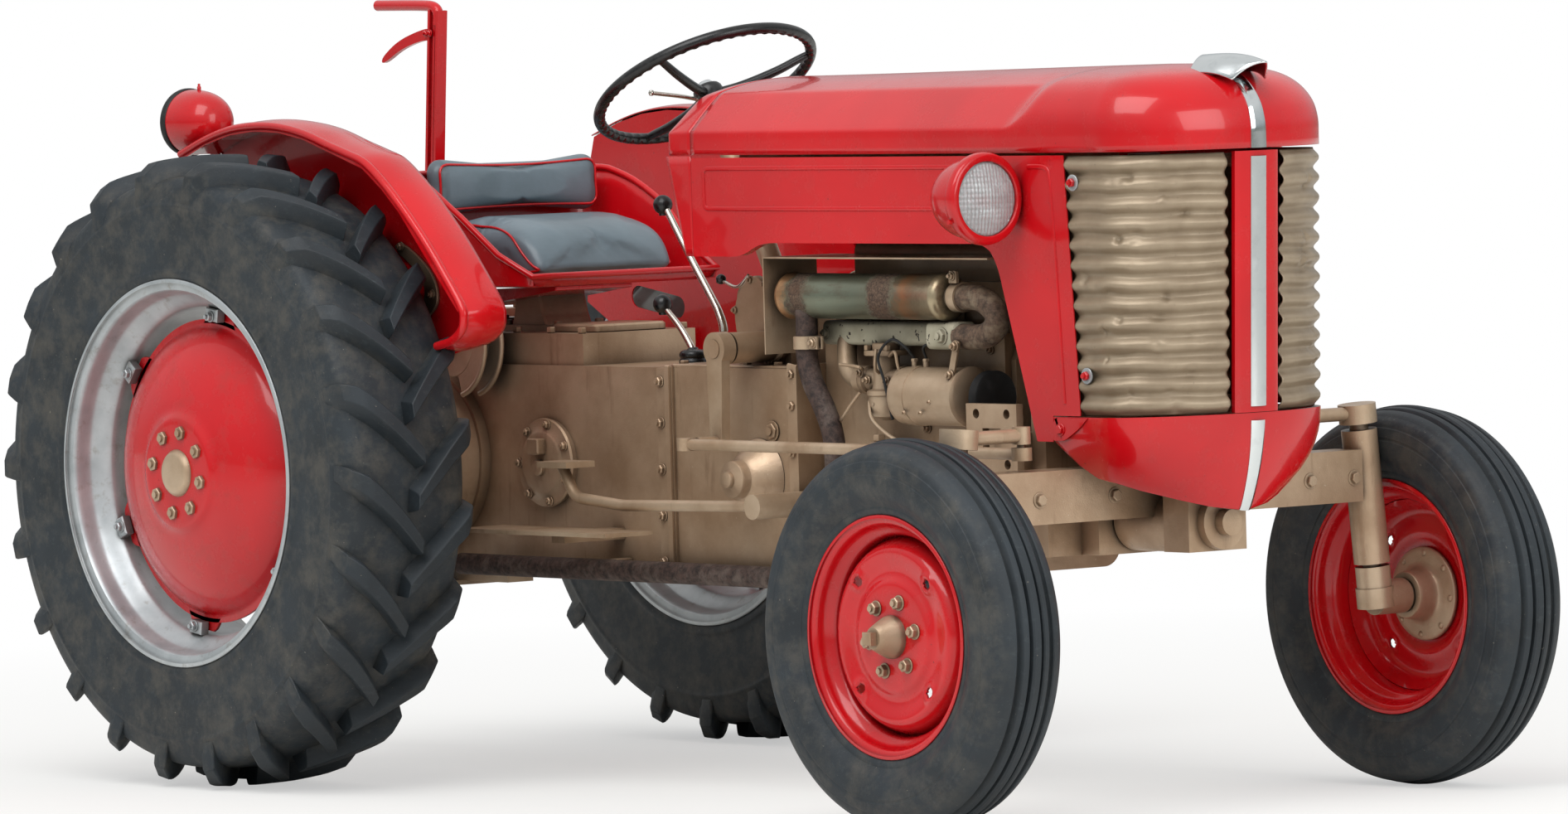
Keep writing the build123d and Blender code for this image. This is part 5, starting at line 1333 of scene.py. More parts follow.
pan_z = 962.0
pan_reach = 228.0
base_plan = soften([(428, -226), (260, -229), (110, -228), (62, -226), (42, -196), (38, -100), (38, 0)], 2)
high_plan = soften([(470, -270), (260, -284), (120, -256), (44, -238), (20, -206), (16, -100), (16, 0)], 2)
side_line = [(0, 1184), (60, 1183), (94, 1174), (150, 1152), (236, 1104), (300, 1056), (376, 998), (420, 984)]
side_height = curve_through(side_line + [(480, 982)], 6)
rim_z = np.full(len(base_plan), 1184.0)
for _ in range(12):
    share = (rim_z - pan_z) / pan_reach
    rim_x = base_plan[:, 0] + (high_plan[:, 0] - base_plan[:, 0]) * share
    rim_z = np.interp(rim_x, side_height[:, 0], side_height[:, 1])
share = (rim_z - pan_z) / pan_reach
pan_rows = []
for inward in (1.0, 0.8, 0.5, 0.25, 0.1):
    ring_x = base_plan[:, 0] + (235 - base_plan[:, 0]) * inward * 0.9
    ring_y = base_plan[:, 1] * (1 - inward)
    pan_rows.append(np.column_stack([ring_x, ring_y, np.full(len(base_plan), pan_z)]))
for up in (0.02, 0.08, 0.18, 0.32, 0.5, 0.68, 0.84, 1.0):
    plan = base_plan + (high_plan - base_plan) * (share * up)[:, None]
    pan_rows.append(np.column_stack([plan, pan_z + 2 + (rim_z - pan_z - 2) * up]))
pan_half = np.array(pan_rows)
pan_grid = np.concatenate([pan_half, (pan_half * (1, -1, 1))[:, ::-1][:, 1:]], axis=1)
rolled = pan_grid[-1]
apron_y = np.linspace(rolled[-1, 1], rolled[0, 1], 9)
front_edge = np.column_stack([np.full(9, rolled[0, 0]), apron_y, np.full(9, rolled[0, 2])])
front_foot = np.column_stack([np.full(9, 420), apron_y * 0.85, np.full(9, pan_z)])
front_apron = np.stack([front_edge, front_edge - (10, 0, 14), front_foot])
rim_loop = np.vstack([rolled, front_edge[1:-1]])
seat_shell = build("seat_pan_form", [sheet(pan_grid), sheet(front_apron)], red_body, 45, merge=0.05)
thicken(seat_shell, 0.0028, 0)
seat_rim = build("seat_pan_rim", [tube_along(rim_loop, 6.5, 12, closed=True)], red_body, 50)
pedestal_line = [(128, 868), (252, 868), (236, 900), (222, 950), (150, 950), (140, 900)]
pedestal = [prism(rounded_outline(pedestal_line, [4] * 6), -58, 58, chamfer=5)]
pedestal.append(prism(rounded_box(100, 868, 290, 880, 3), -70, 70, chamfer=2))
for x, y in ((115, -52), (115, 52), (275, -52), (275, 52)):
    pedestal.append(prism(disc_outline((x, y), 9, 18), 879, 889, axis="z", chamfer=1.5))
seat_stand = build("seat_pedestal", pedestal, bronze_iron, 32)
bracket_line = [(60, 916), (330, 950), (330, 958), (60, 950), (40, 930)]
bracket = prism(rounded_outline(bracket_line, [2] * 5), -96, 96, chamfer=2)
seat_bracket = build("seat_bracket", [bracket], red_body, 32)
settle(seat_shell, "seat_pan")
settle(seat_rim)
settle(seat_stand)
settle(seat_bracket)


# Seat cushions
# Foam pads in grey-blue leathercloth, puffed by their filling, with red piping sewn into the seams. The
# seat's top panel rolls over its front edge between two darker side panels.


def loaf(profile, half, end_round, rows=40):
    """A closed side profile carried across from -half to half. Near the ends it shrinks towards its middle
    by a quarter circle, so the ends are round."""
    profile = np.asarray(profile, float)
    middle = profile.mean(0)
    reach = np.abs(profile - middle).min(0).clip(30)
    turn = np.linspace(-np.pi / 2, np.pi / 2, rows)
    place = half * np.sign(np.sin(turn)) * np.abs(np.sin(turn)) ** 0.75
    rings = []
    for y in place:
        deep = max(0.0, (abs(y) - (half - end_round)) / end_round)
        inset = end_round * (1 - math.sqrt(max(0.0, 1 - deep**2)))
        away = profile - middle
        size = np.linalg.norm(away, axis=1)[:, None]
        ring = middle + away * np.clip(1 - inset / size, 0.04, 1)
        rings.append(across_at(ring, y))
    return with_ends(sheet(np.array(rings), False, True), len(profile))


def puffed(name, shape, cap, voxel):
    """The pad's form, remeshed, then puffed as cloth under pressure. No point moves further than the cap."""
    pad = build(name, [shape], grey_vinyl, 180)
    remesh = pad.modifiers.new("even faces", "REMESH")
    remesh.mode, remesh.voxel_size = "VOXEL", voxel
    bpy.context.view_layer.objects.active = pad
    for thing in bpy.context.selected_objects:
        thing.select_set(False)
    pad.select_set(True)
    bpy.ops.object.modifier_apply(modifier=remesh.name)
    start = np.empty(len(pad.data.vertices) * 3)
    pad.data.vertices.foreach_get("co", start)
    cloth = pad.modifiers.new("filling", "CLOTH")
    filling = cloth.settings
    filling.use_pressure = True
    filling.uniform_pressure_force = 4.0
    filling.effector_weights.gravity = 0.0
    filling.quality = 5
    filling.tension_stiffness = filling.compression_stiffness = 25
    filling.bending_stiffness = 1.5
    cloth.point_cache.frame_start, cloth.point_cache.frame_end = 1, 20
    for step in range(1, 21):
        bpy.context.scene.frame_set(step)
    shaped = bpy.data.meshes.new_from_object(pad.evaluated_get(bpy.context.evaluated_depsgraph_get()))
    moved = np.empty_like(start)
    shaped.vertices.foreach_get("co", moved)
    push = (moved - start).reshape(-1, 3)
    size = np.linalg.norm(push, axis=1)[:, None]
    push *= np.minimum(1, cap / np.maximum(size, 1e-9))
    pad.modifiers.remove(cloth)
    pad.data.vertices.foreach_set("co", (start.reshape(-1, 3) + push).ravel())
    pad.data.update()
    bpy.data.meshes.remove(shaped)
    bpy.context.scene.frame_set(1)
    smooth = pad.modifiers.new("fine faces", "SUBSURF")
    smooth.levels = smooth.render_levels = 1
    bpy.ops.object.modifier_apply(modifier=smooth.name)
    pad.data.shade_smooth()
    return pad


def leathercloth():
    """Grey-blue PVC leathercloth: fine leather grain, soft sheen, creases, and painted brownish shade where parts
    meet.
    """
    material, tree = start_material("grey-blue leathercloth")
    patches = object_noise(tree, 130, 4)
    base = blend_colours(tree, mask(tree, patches, 0.35, 0.7), "#6f7f88", "#5c6b73")
    place = add(tree, "ShaderNodeTexCoord").outputs["Object"]
    across = add(tree, "ShaderNodeSeparateXYZ", {"Vector": place}).outputs["Y"]
    outer = add(tree, "ShaderNodeMath", {0: across}, operation="ABSOLUTE").outputs["Value"]
    base = blend_colours(tree, mask(tree, outer, 0.172, 0.182, 0.45), base, "#3d464b")
    # Painted shade: darker where the surroundings hide a point, as where the pads meet.
    base = blend_colours(tree, painted_corner_shade(tree, 0.04, 0.7), base, "#3a3733")
    grain = add(tree, "ShaderNodeTexVoronoi", {"Vector": place, "Scale": 1000 / 2.2}).outputs["Distance"]
    creases = object_noise(tree, 34, 5, 0.62, (1, 2.5, 1))
    normal = bump(tree, grain, 0.12, 0.45, bump(tree, creases, 2.2, 0.35))
    looks = {"Base Color": base, "Roughness": 0.42, "IOR": 1.5, "Coat Weight": 0.15}
    finish_material(tree, looks | {"Normal": normal})
    return material


grey_vinyl = leathercloth()
seat_profile = [(66, 992), (66, 1040), (70, 1072), (92, 1084), (150, 1086), (215, 1085), (270, 1078)]
seat_profile += [(318, 1062), (352, 1038), (372, 1010), (380, 992), (366, 984), (300, 980), (200, 980), (100, 982)]
seat_loaf = loaf(soften(seat_profile, 2, closed=True), 176, 22)
seat_pad = puffed("seat_cushion_form", seat_loaf, 0.012, 0.006)
back_profile = [(48, 1106), (46, 1150), (48, 1198), (58, 1214), (76, 1214), (92, 1202), (97, 1160)]
back_profile += [(96, 1118), (84, 1102), (64, 1098)]
back_loaf = loaf(soften(back_profile, 2, closed=True), 208, 30)
back_pad = puffed("back_cushion_form", back_loaf, 0.012, 0.0055)


def on_surface(pad, line, out):
    """Points of a line in millimetres moved to the pad's surface, and out from it by a distance."""
    placed = []
    for x, y, z in line:
        target = (x / 1000 + axle_x, y / 1000, z / 1000)
        _, spot, normal, _ = pad.closest_point_on_mesh(target)
        spot = np.array(spot) + np.array(normal) * out / 1000
        placed.append(((spot[0] - axle_x) * 1000, spot[1] * 1000, spot[2] * 1000))
    return np.array(placed)


def even_out(line):
    """A closed line smoothed by moving each point to the mean of itself and its neighbours, three times."""
    for _ in range(3):
        line = 0.5 * line + 0.25 * (np.roll(line, 1, 0) + np.roll(line, -1, 0))
    return line


seam_line = [(70, 1086), (150, 1094), (230, 1090), (292, 1066), (326, 1026), (352, 1000), (392, 984)]
seam_line += [(300, 976), (200, 976), (90, 978), (62, 1000), (60, 1050)]
seam_loop = soften(seam_line, 3, closed=True)
back_corners = rounded_box(-200, 1106, 200, 1210, 30, 8)
back_loop = soften(np.column_stack([np.full(len(back_corners), 102.0), back_corners]), 2, closed=True)
red_piping = red_enamel("red vinyl piping", 0.1)


def piping(pad, loop, up):
    """A thin cord laid on a pad's seam."""
    return tube_along(even_out(on_surface(pad, loop, 1.0)), 2.6, 10, up=up, closed=True)


seat_piping = []
for y in (-178, 178):
    seat_piping.append(piping(seat_pad, across_at(seam_loop, y), sideways))
seat_cord = build("seat_cushion_piping", seat_piping, red_piping, 60)
back_cord = build("back_cushion_piping", [piping(back_pad, back_loop, (1.0, 0.0, 0.0))], red_piping, 60)
for pad, cord, node in ((seat_pad, seat_cord, "seat_cushion"), (back_pad, back_cord, "back_cushion")):
    settle(pad, node)
    settle(cord)


# Steering wheel
# A steel hoop covered in hard black rubber with finger ridges inside. Three spokes meet at a hub with a
# small plated cap, and a bright throttle lever lies under it.

wheel_centre_x, wheel_centre_z, wheel_tilt = 702.0, 1351.0, -29.0
hoop_r, hoop_wire = 218.0, 11.0
hoop_angle = np.linspace(0, 2 * np.pi, 432, endpoint=False)[:, None]
section = np.linspace(0, 2 * np.pi, 18, endpoint=False)[None, :]
ridge = 1.5 * np.clip(np.cos(54 * hoop_angle), -0.3, 1) * np.clip(-np.cos(section - 0.6), 0, 1)
wire = hoop_wire + ridge
hoop_radius = hoop_r + wire * np.cos(section)
hoop_over = wire * np.sin(section)
hoop_points = np.stack([hoop_radius * np.cos(hoop_angle), hoop_radius * np.sin(hoop_angle), hoop_over], -1)
hub_line = soften([(0.1, -58), (20, -58), (24, -50), (30, -30), (30, -14), (24, -6), (0.1, -5)], 1)
wheel_shapes = [sheet(hoop_points, True, True), lathe(hub_line, (0, 0, 0), 40, axis="z")]
for a in (90, 210, 330):
    out = np.array([-math.sin(math.radians(a)), math.cos(math.radians(a)), 0])
    spoke = [out * r + (0, 0, z) for r, z in ((16, -26), (70, -25), (140, -16), (190, -5), (214, 0))]
    wheel_shapes.append(tube_along(curve_through(spoke, 5), 8.5, 14, taper=np.linspace(1.2, 0.85, 21)))
cap = lathe([(0.1, 6), (12, 3), (17, -4), (18, -9), (0.1, -9)], (0, 0, 0), 32, axis="z")
shaft = lathe([(0.1, -120), (11.5, -120), (11.5, -50), (0.1, -50)], (0, 0, 0), 24, axis="z")


def on_column(shapes):
    """Shapes about the wheel's own axis, tilted back and moved to the wheel's centre."""
    tilted = [spun(shape, np.zeros(3), wheel_tilt) for shape in shapes]
    return [(np.asarray(points) + (wheel_centre_x, 0, wheel_centre_z), faces) for points, faces in tilted]


steering = build("steering_wheel_form", on_column(wheel_shapes), black_handle, 45)
steering_cap = build("steering_wheel_cap", on_column([cap, shaft]), chrome, 45)
settle(steering, "steering_wheel", body="steering_wheel")
settle(steering_cap, body="steering_wheel")


# Levers
# Bright steel gear levers with black knobs, each out of a folded rubber boot. A small choke knob sits under
# the dash, and the tall hand lever behind the seat is a red channel with a round grip and a trigger.


def bright_steel():
    """Bare steel rod polished by hands, with thin brown stains. Metal keeps its default IOR."""
    material, tree = start_material("hand-polished steel")
    stain = mask(tree, object_noise(tree, 30, 5, 0.7), 0.5, 0.75, 0.55)
    base = blend_colours(tree, stain, "#cfc9bf", "#8d7c66")
    rough = mask(tree, stain, 0, 0.55, 0.495, 0.22)
    normal = bump(tree, object_noise(tree, 4, 3), 0.1, 0.3)
    finish_material(tree, {"Base Color": base, "Metallic": 1.0, "Roughness": rough, "Normal": normal})
    return material


hand_steel = bright_steel()
main_line = [(812, 850), (813, 880), (803, 905), (786, 930), (716, 1016), (646, 1108)]
short_line = [(728, -70, 826), (724, -70, 842), (690, -70, 880), (646, -70, 916)]
choke_line = [(880, -110, 972), (930, -116, 962), (966, -116, 985)]
throttle_line = [(716, -14, 1318), (706, -60, 1328), (690, -124, 1337)]
throttle_ball = [(0.1, -6), (4, -5), (6, 0), (4, 5), (0.1, 6)]
lever_shapes = [
    tube_along(curve_through(across_at(main_line, -60), 8), 8, 16, taper=np.linspace(1.15, 0.8, 41)),
    tube_along(curve_through(short_line, 8), 7, 16, taper=np.linspace(1.2, 0.8, 25)),
    tube_along(curve_through(choke_line, 5), 3, 10),
    tube_along(curve_through(throttle_line, 6), 4, 12),
    lathe(throttle_ball, throttle_line[-1], 16, axis="z"),
]
levers = build("gear_lever_rods", lever_shapes, hand_steel, 45)


def knob(centre, radius):
    """A ball turned on the upright axis, with a short neck under it."""
    turn = np.linspace(np.pi / 2, -np.pi / 2 + 0.45, 18)
    line = [(max(0.1, radius * math.cos(t)), radius * math.sin(t)) for t in turn]
    line += [(radius * 0.42, -radius * 1.12), (0.1, -radius * 1.14)]
    return lathe(line, centre, 32, axis="z")


def boot(centre, radius, height):
    """A folded rubber boot: two swollen folds under a tight neck."""
    line = [(0.1, 0), (0.96, 0), (1, 0.12), (0.97, 0.38), (0.86, 0.46), (0.98, 0.55), (0.96, 0.82)]
    line += [(0.7, 0.96), (0.36, 1), (0.3, 1.12)]
    line = np.vstack([np.array(line) * (radius, height), [(0.1, height * 1.12)]])
    line[0, 0] = 0.1
    return lathe(soften(line, 2), centre, 40, axis="z")


knob_shapes = [knob((634, -60, 1118), 19), knob((637, -70, 925), 19), boot((812, -60, 832), 27, 36)]
knob_shapes += [boot((730, -70, 806), 29, 32), spun(knob((872, -109, 976), 10), (872, -109, 976), 60)]
knobs = build("lever_knobs_and_boots", knob_shapes, black_handle, 50)
stem_low, stem_high = np.array([-207.0, 905.0]), np.array([-160.0, 1508.0])
stem_side = np.array([1.0, -0.077])


def stem_strip(inner, outer, half):
    """A strip of the tall lever between two distances from its middle line, half as wide each way across."""
    outline = [stem_low + stem_side * inner, stem_low + stem_side * outer]
    outline += [stem_high + stem_side * outer, stem_high + stem_side * inner]
    return prism(np.array(outline), -half, half, chamfer=0.8)


tall_shapes = [stem_strip(-14, 14, 5), stem_strip(-17, -10, 12), stem_strip(10, 17, 12), stem_strip(-3, 3, 8)]
grip_line = [(-160, 1478), (-158, 1500), (-172, 1514), (-215, 1518), (-350, 1520), (-357, 1520)]
grip_line = curve_through(across_at(grip_line, 0), 6)
tall_shapes.append(tube_along(grip_line, 11, 16, up=sideways))
trigger_line = [(-178, 1474), (-176, 1448), (-214, 1447), (-280, 1431), (-336, 1404), (-350, 1404)]
trigger_line += [(-342, 1418), (-290, 1448), (-226, 1466)]
tall_shapes.append(prism(soften(trigger_line, 2, closed=True), -5, 5, chamfer=1.2))
tall_shapes += nuts_on_y([(-172, 1462), (-186, 1462), (-200, 960), (-196, 1020)], -11, -1, 6, 4)
tall = build("tall_lever_form", tall_shapes, red_body, 40)
settle(levers, "hand_levers")
settle(knobs)
settle(tall)


# Lift quadrants
# Two bronze arc plates beside the seat have thick pressed rims, and hold the lift's two small levers.


def arc_band(centre, inner, outer, start, stop, steps=40):
    """A closed outline between two arcs about a centre, angles measured up from straight ahead."""
    a = np.radians(np.linspace(start, stop, steps))
    arc = np.column_stack([np.cos(a), np.sin(a)])
    return np.vstack([np.asarray(centre) + outer * arc, (np.asarray(centre) + inner * arc)[::-1]])


quadrant_centre = (150.0, 848.0)
quadrant_shapes = []
for y in (-180, -222):
    quadrant_shapes.append(prism(arc_band(quadrant_centre, 60, 103, -75, 110), y + 2, y + 6, chamfer=1))
    arc = arc_band(quadrant_centre, 99, 103, -75, 110)[:40]
    quadrant_shapes.append(tube_along(across_at(arc, y + 4), 5.5, 12, up=sideways))
    quadrant_shapes.append(prism(disc_outline(quadrant_centre, 64, 40), y + 1, y + 7, chamfer=1.2))
    lever_arc = [(150, y + 4, 848), (190, y - 2, 888), (222, y - 4, 934)]
    quadrant_shapes.append(tube_along(curve_through(lever_arc, 5), 5, 12))
    quadrant_shapes.append(knob((226, y - 4, 944), 10))
quadrant_shapes.append(prism(disc_outline(quadrant_centre, 20, 30), -232, -140, chamfer=2))
quadrant_shapes += nuts_on_y([quadrant_centre], -230, -1, 12, 8)
quadrants = build("quadrant_form", quadrant_shapes, bronze_steel, 35)
settle(quadrants, "quadrant")


# Exhaust
# A long steel silencer lies along the engine, blued and browned by heat with two belts of coarse rust. A
# rusty bend brings the gas from the manifold, and a strapped pipe carries it down and back.

drum_y, drum_z = -190.0, 950.0
drum_rear, drum_front = 1181.0, 1664.0


def heated_steel():
    """Steel browned by heat: green-grey middle, copper and straw near the ends, belts of coarse dark rust, and
    painted shade in corners.
    """
    material, tree = start_material("heat-tinted steel drum")
    place = add(tree, "ShaderNodeTexCoord").outputs["Object"]
    x = add(tree, "ShaderNodeSeparateXYZ", {"Vector": place}).outputs["X"]
    wander = {0: object_noise(tree, 26, 6, 0.75), 1: 0.085, 2: x}
    moved = add(tree, "ShaderNodeMath", wander, operation="MULTIPLY_ADD").outputs["Value"]
    start, end = axle_x + drum_rear / 1000 + 0.042, axle_x + drum_front / 1000 + 0.042
    along = mask(tree, moved, start, end)
    tints = [(0.0, "#b58a62"), (0.05, "#a17a58"), (0.09, "#6f6a58"), (0.3, "#7c8271"), (0.5, "#767b6a")]
    tints += [(0.74, "#7f7a66"), (0.8, "#a97a55"), (0.87, "#8e7c63"), (0.95, "#b3a487"), (1.0, "#a99a7e")]
    tint = ramp(tree, along, tints)
    black, white = "#000000", "#ffffff"
    edges = [(0.09, black), (0.11, white), (0.17, white), (0.2, black)]
    edges += [(0.57, black), (0.6, white), (0.7, white), (0.74, black)]
    belts = ramp(tree, along, edges)
    grit = object_noise(tree, 5, 5, 0.8)
    rust = blend_colours(tree, mask(tree, grit, 0.4, 0.62), "#3e3029", "#77614f")
    base = blend_colours(tree, belts, tint, rust)
    stains = mask(tree, object_noise(tree, 45, 6, 0.7, (3, 1, 1)), 0.52, 0.7, 0.7)
    base = blend_colours(tree, stains, base, "#5f4433")
    # Painted shade: darker where the surroundings hide a point, as in corners.
    base = blend_colours(tree, painted_corner_shade(tree, 0.04, 0.7), base, "#241b15")
    metal = mask(tree, belts, 0, 1, 0.1, 0.75)
    rough = mask(tree, belts, 0, 1, 0.9, 0.33)
    normal = bump(tree, multiply(tree, grit, belts), 2.5, 0.9, bump(tree, object_noise(tree, 9, 3), 0.2, 0.3))
    finish_material(tree, {"Base Color": base, "Metallic": metal, "Roughness": rough, "Normal": normal})
    return material


def rusty_pipe(name, light, dark, bright):
    """Bare exhaust pipe: mottled rust scale over scorched grey steel, rough to the touch, with painted shade in
    corners.
    """
    material, tree = start_material(name)
    scale = object_noise(tree, 16, 7, 0.78)
    base = blend_colours(tree, mask(tree, scale, 0.38, 0.62), dark, light)
    bare = mask(tree, object_noise(tree, 40, 5, 0.7), 0.5, 0.66, 0.75)
    base = blend_colours(tree, bare, base, bright)
    # Painted shade: darker where the surroundings hide a point, as in corners.
    base = blend_colours(tree, painted_corner_shade(tree, 0.04, 0.6), base, "#1c1613")
    normal = bump(tree, scale, 1.4, 0.7, bump(tree, object_noise(tree, 3, 3, 0.8), 0.5, 0.5))
    finish_material(tree, {"Base Color": base, "Metallic": 0.25, "Roughness": 0.72, "Normal": normal})
    return material


drum_line = [(0.1, 0), (33, 0), (39, 3), (43, 9), (44.5, 13), (44.5, 17), (43, 20)]
drum_line = np.array(drum_line) + (0, drum_rear)
drum_end = [(43, -24), (44.5, -21), (44.5, -12), (42, -5), (34, 0), (0.1, 0)]
drum_line = np.vstack([drum_line, np.array(drum_end) + (0, drum_front)])
silencer = lathe(drum_line, (0, drum_y, drum_z), 96, axis="x")
gas_line = [(1655, 950), (1700, 950), (1744, 947), (1778, 930), (1790, 911), (1778, 890), (1744, 877)]
gas_line = curve_through(across_at(gas_line + [(1680, 877)], drum_y + 5), 6)
gas_bend = tube_along(gas_line, 24, 28, up=sideways)
pipe_line = [(1250, -205, 925), (1250, -205, 880), (1250, -206, 840), (1264, -206, 790), (1300, -206, 735)]
pipe_line += [(1322, -205, 680), (1326, -205, 600), (1326, -205, 500), (1318, -205, 445), (1290, -205, 418)]
pipe_line += [(x, -205, 413) for x in (1240, 1000, 700, 400, 140)]
down_pipe = tube_along(curve_through(pipe_line, 8), 21, 24, up=sideways)
bend_rust = rusty_pipe("rusty exhaust bend", "#7b6452", "#43362e", "#9a8a74")
pipe_rust = rusty_pipe("scorched exhaust pipe", "#5a4740", "#2b2422", "#6f625a")
drum_piece = build("muffler_form", [silencer], heated_steel(), 40)
bend_piece = build("exhaust_bend", [gas_bend], bend_rust, 50)
pipe_piece = build("tail_pipe", [down_pipe], pipe_rust, 50)


def pipe_strap(x, z, y, radius, axis):
    """A split clamp round a pipe, with two lugs and a bolt through them."""
    ring = [(radius, -13), (radius + 4, -12), (radius + 4, 12), (radius, 13)]
    edge = x + radius
    lug = np.array([(edge, z - 12), (edge + 24, z - 12), (edge + 24, z + 12), (edge, z + 12)])
    lugs = [prism(lug, y - 4 + shift - 3, y - 4 + shift + 3, chamfer=1) for shift in (-6, 6)]
    bolt = nuts_on_y([(edge + 14, z)], y - 13, -1, 8, 6)
    return [lathe(ring, (x, y, z), 48, axis=axis, closed=True), *lugs, *bolt]


strap_shapes = pipe_strap(1250, 862, -206, 21.5, "z")
collar = [(24.5, 1672), (28.5, 1673), (28.5, 1694), (24.5, 1695)]
strap_shapes.append(lathe(collar, (0, drum_y + 5, drum_z), 48, axis="x", closed=True))
ear_line = rounded_outline([(1672, 976), (1695, 976), (1693, 1000), (1674, 1000)], [3] * 4)
strap_shapes.append(prism(ear_line, drum_y - 14, drum_y - 6, chamfer=1))
strap_shapes += nuts_on_y([(1684, 990)], drum_y - 14, -1, 7, 6)
strap_shapes.append(prism(rounded_box(600, 392, 622, 434, 3), -190, -150, chamfer=1))
straps = build("exhaust_straps", strap_shapes, bronze_steel, 35)
settle(drum_piece, "exhaust")
settle(bend_piece)
settle(pipe_piece)
settle(straps)


# Manifold and carburettor
# The cast manifold's paint has burnt to a pale pitted crust. Under it hangs the bronze-painted carburettor
# with its studs, linkage and fuel line, on the intake pipe.


def burnt_casting():
    """Cast iron with paint burnt to a pale greenish beige, broken by dark flaked pits, with painted shade in
    corners.
    """
    material, tree = start_material("burnt paint on manifold")
    base = blend_colours(tree, mask(tree, object_noise(tree, 60, 5), 0.35, 0.7), "#b7b19b", "#98927b")
    flakes = mask(tree, object_noise(tree, 13, 3, 0.6), 0.63, 0.66)
    base = blend_colours(tree, flakes, base, "#2f2723")
    # Painted shade: darker where the surroundings hide a point, as in corners.
    base = blend_colours(tree, painted_corner_shade(tree, 0.05, 0.8), base, "#2a221b")
    normal = bump(tree, flakes, -1.2, 0.8, bump(tree, object_noise(tree, 4, 3, 0.7), 0.5, 0.4))
    finish_material(tree, {"Base Color": base, "Roughness": 0.68, "IOR": 1.5, "Normal": normal})
    return material


log_section = rounded_outline([(-165, 856), (-122, 856), (-122, 902), (-165, 902)], [14, 4, 4, 14], 5)
manifold_shapes = [prism(log_section, 1246, 1612, axis="x", chamfer=4)]
manifold_shapes.append(prism(rounded_box(-206, 852, -150, 904, 16), 1600, 1690, axis="x", chamfer=6))
for x in (1270, 1410, 1550):
    manifold_shapes.append(prism(rounded_box(x, 884, x + 50, 935, 12), -126, -105, chamfer=2))
manifold_shapes += nuts_on_y([(1259, 879), (1596, 879)], -165, -1, 8, 7)
manifold_shapes += nuts_on_y([(1652, 878)], -206, -1, 13, 8)
manifold_piece = build("manifold_form", manifold_shapes, burnt_casting(), 40)
fuel_y = -168.0
fuel_z = 792.0
bowl_line = [(0.1, 718), (10, 716), (14, 720), (32, 724), (35, 730), (35, 762), (38, 764), (38, 772)]
bowl_line += [(28, 776), (25, 790), (25, 838), (0.1, 838)]
throat_line = [(0.1, 1378), (24, 1378), (26, 1382), (26, 1392), (21, 1396), (21, 1486), (27, 1490)]
throat_line += [(27, 1500), (0.1, 1500)]
intake_line = [(1388, fuel_y, fuel_z), (1352, fuel_y, 794), (1322, -164, 812), (1306, -154, 846)]
intake_line.append((1300, -145, 872))
intake_ring = [(20, -10), (26, -9), (26, 9), (20, 10)]
carburettor_shapes = [
    lathe(bowl_line, (1440, fuel_y, 0), 48, axis="z"),
    lathe(throat_line, (0, fuel_y, fuel_z), 48, axis="x"),
    prism(rounded_box(1402, -198, 1478, -138, 16), 838, 848, axis="z", chamfer=1.5),
    prism(rounded_box(1418, -190, 1462, -146, 14), 846, 862, axis="z", chamfer=2),
    tube_along(curve_through(intake_line, 7), 19, 24, up=sideways),
    lathe(intake_ring, (1372, fuel_y, fuel_z), 40, axis="x", closed=True),
]
linkage = [
    [(1404, -196, 812), (1404, -208, 818), (1350, -208, 822)],
    [(1452, -196, 806), (1458, -210, 818), (1462, -210, 852)],
    [(1476, -190, 838), (1500, -196, 846), (1508, -196, 820), (1512, -190, 800)],
    [(1404, -204, 770), (1380, -210, 744), (1352, -206, 722), (1322, -190, 712)],
    [(1420, -196, 752), (1450, -214, 720), (1500, -214, 690), (1540, -200, 672)],
]
for line in linkage:
    carburettor_shapes.append(tube_along(curve_through(line, 6), 3.2, 8, up=sideways))
carburettor_shapes += nuts_on_y([(1412, 792), (1468, 792), (1440, 748), (1392, 806)], -192, -1, 7, 6)


def upright_bolts(places, radius, low, high, chamfer=1.0):
    """Hexagon bolt heads that stand on a level face."""
    return [prism(hexagon(place, radius), low, high, axis="z", chamfer=chamfer) for place in places]


carburettor_shapes += upright_bolts([(1411, -189), (1469, -189)], 7, 848, 858)
carburettor_piece = build("carburettor_form", carburettor_shapes, bronze_steel, 38)
settle(manifold_piece, "manifold")
settle(carburettor_piece)


# Dynamo
# A bronze-painted steel drum with a cover band, two terminals and its wires. A black pulley and belt drive
# it from the crankshaft.

dynamo_y, dynamo_z = -178.0, 764.0
dynamo_centre = (0, dynamo_y, dynamo_z)
dynamo_line = [(0.1, 1508), (40, 1508), (50, 1511), (54, 1516), (55, 1522), (55, 1542), (56.5, 1543)]
dynamo_line += [(56.5, 1562), (55, 1563), (55, 1690), (57, 1692), (57, 1702), (50, 1707), (14, 1708)]
dynamo_line += [(14, 1722), (0.1, 1722)]
dynamo_shapes = [lathe(dynamo_line, dynamo_centre, 80, axis="x")]
dynamo_shapes.append(prism(rounded_box(1560, 736, 1604, 792, 6), -136, -119, chamfer=1))
for x in (1536, 1570):
    dynamo_shapes.append(prism(disc_outline((x, dynamo_y), 6, 16), 816, 830, axis="z", chamfer=1))
    dynamo_shapes += upright_bolts([(x, dynamo_y)], 7, 828, 834)
dynamo_shapes += nuts_on_y([(1640, 756), (1566, 735), (1614, 735)], -231, -1, 4, 2)
stay_line = rounded_outline([(1676, 800), (1690, 790), (1712, 868), (1698, 872)], [4] * 4)
dynamo_shapes.append(prism(stay_line, -216, -211, chamfer=0.8))
dynamo_shapes += nuts_on_y([(1687, 806), (1703, 860)], -217, -1, 8, 7)
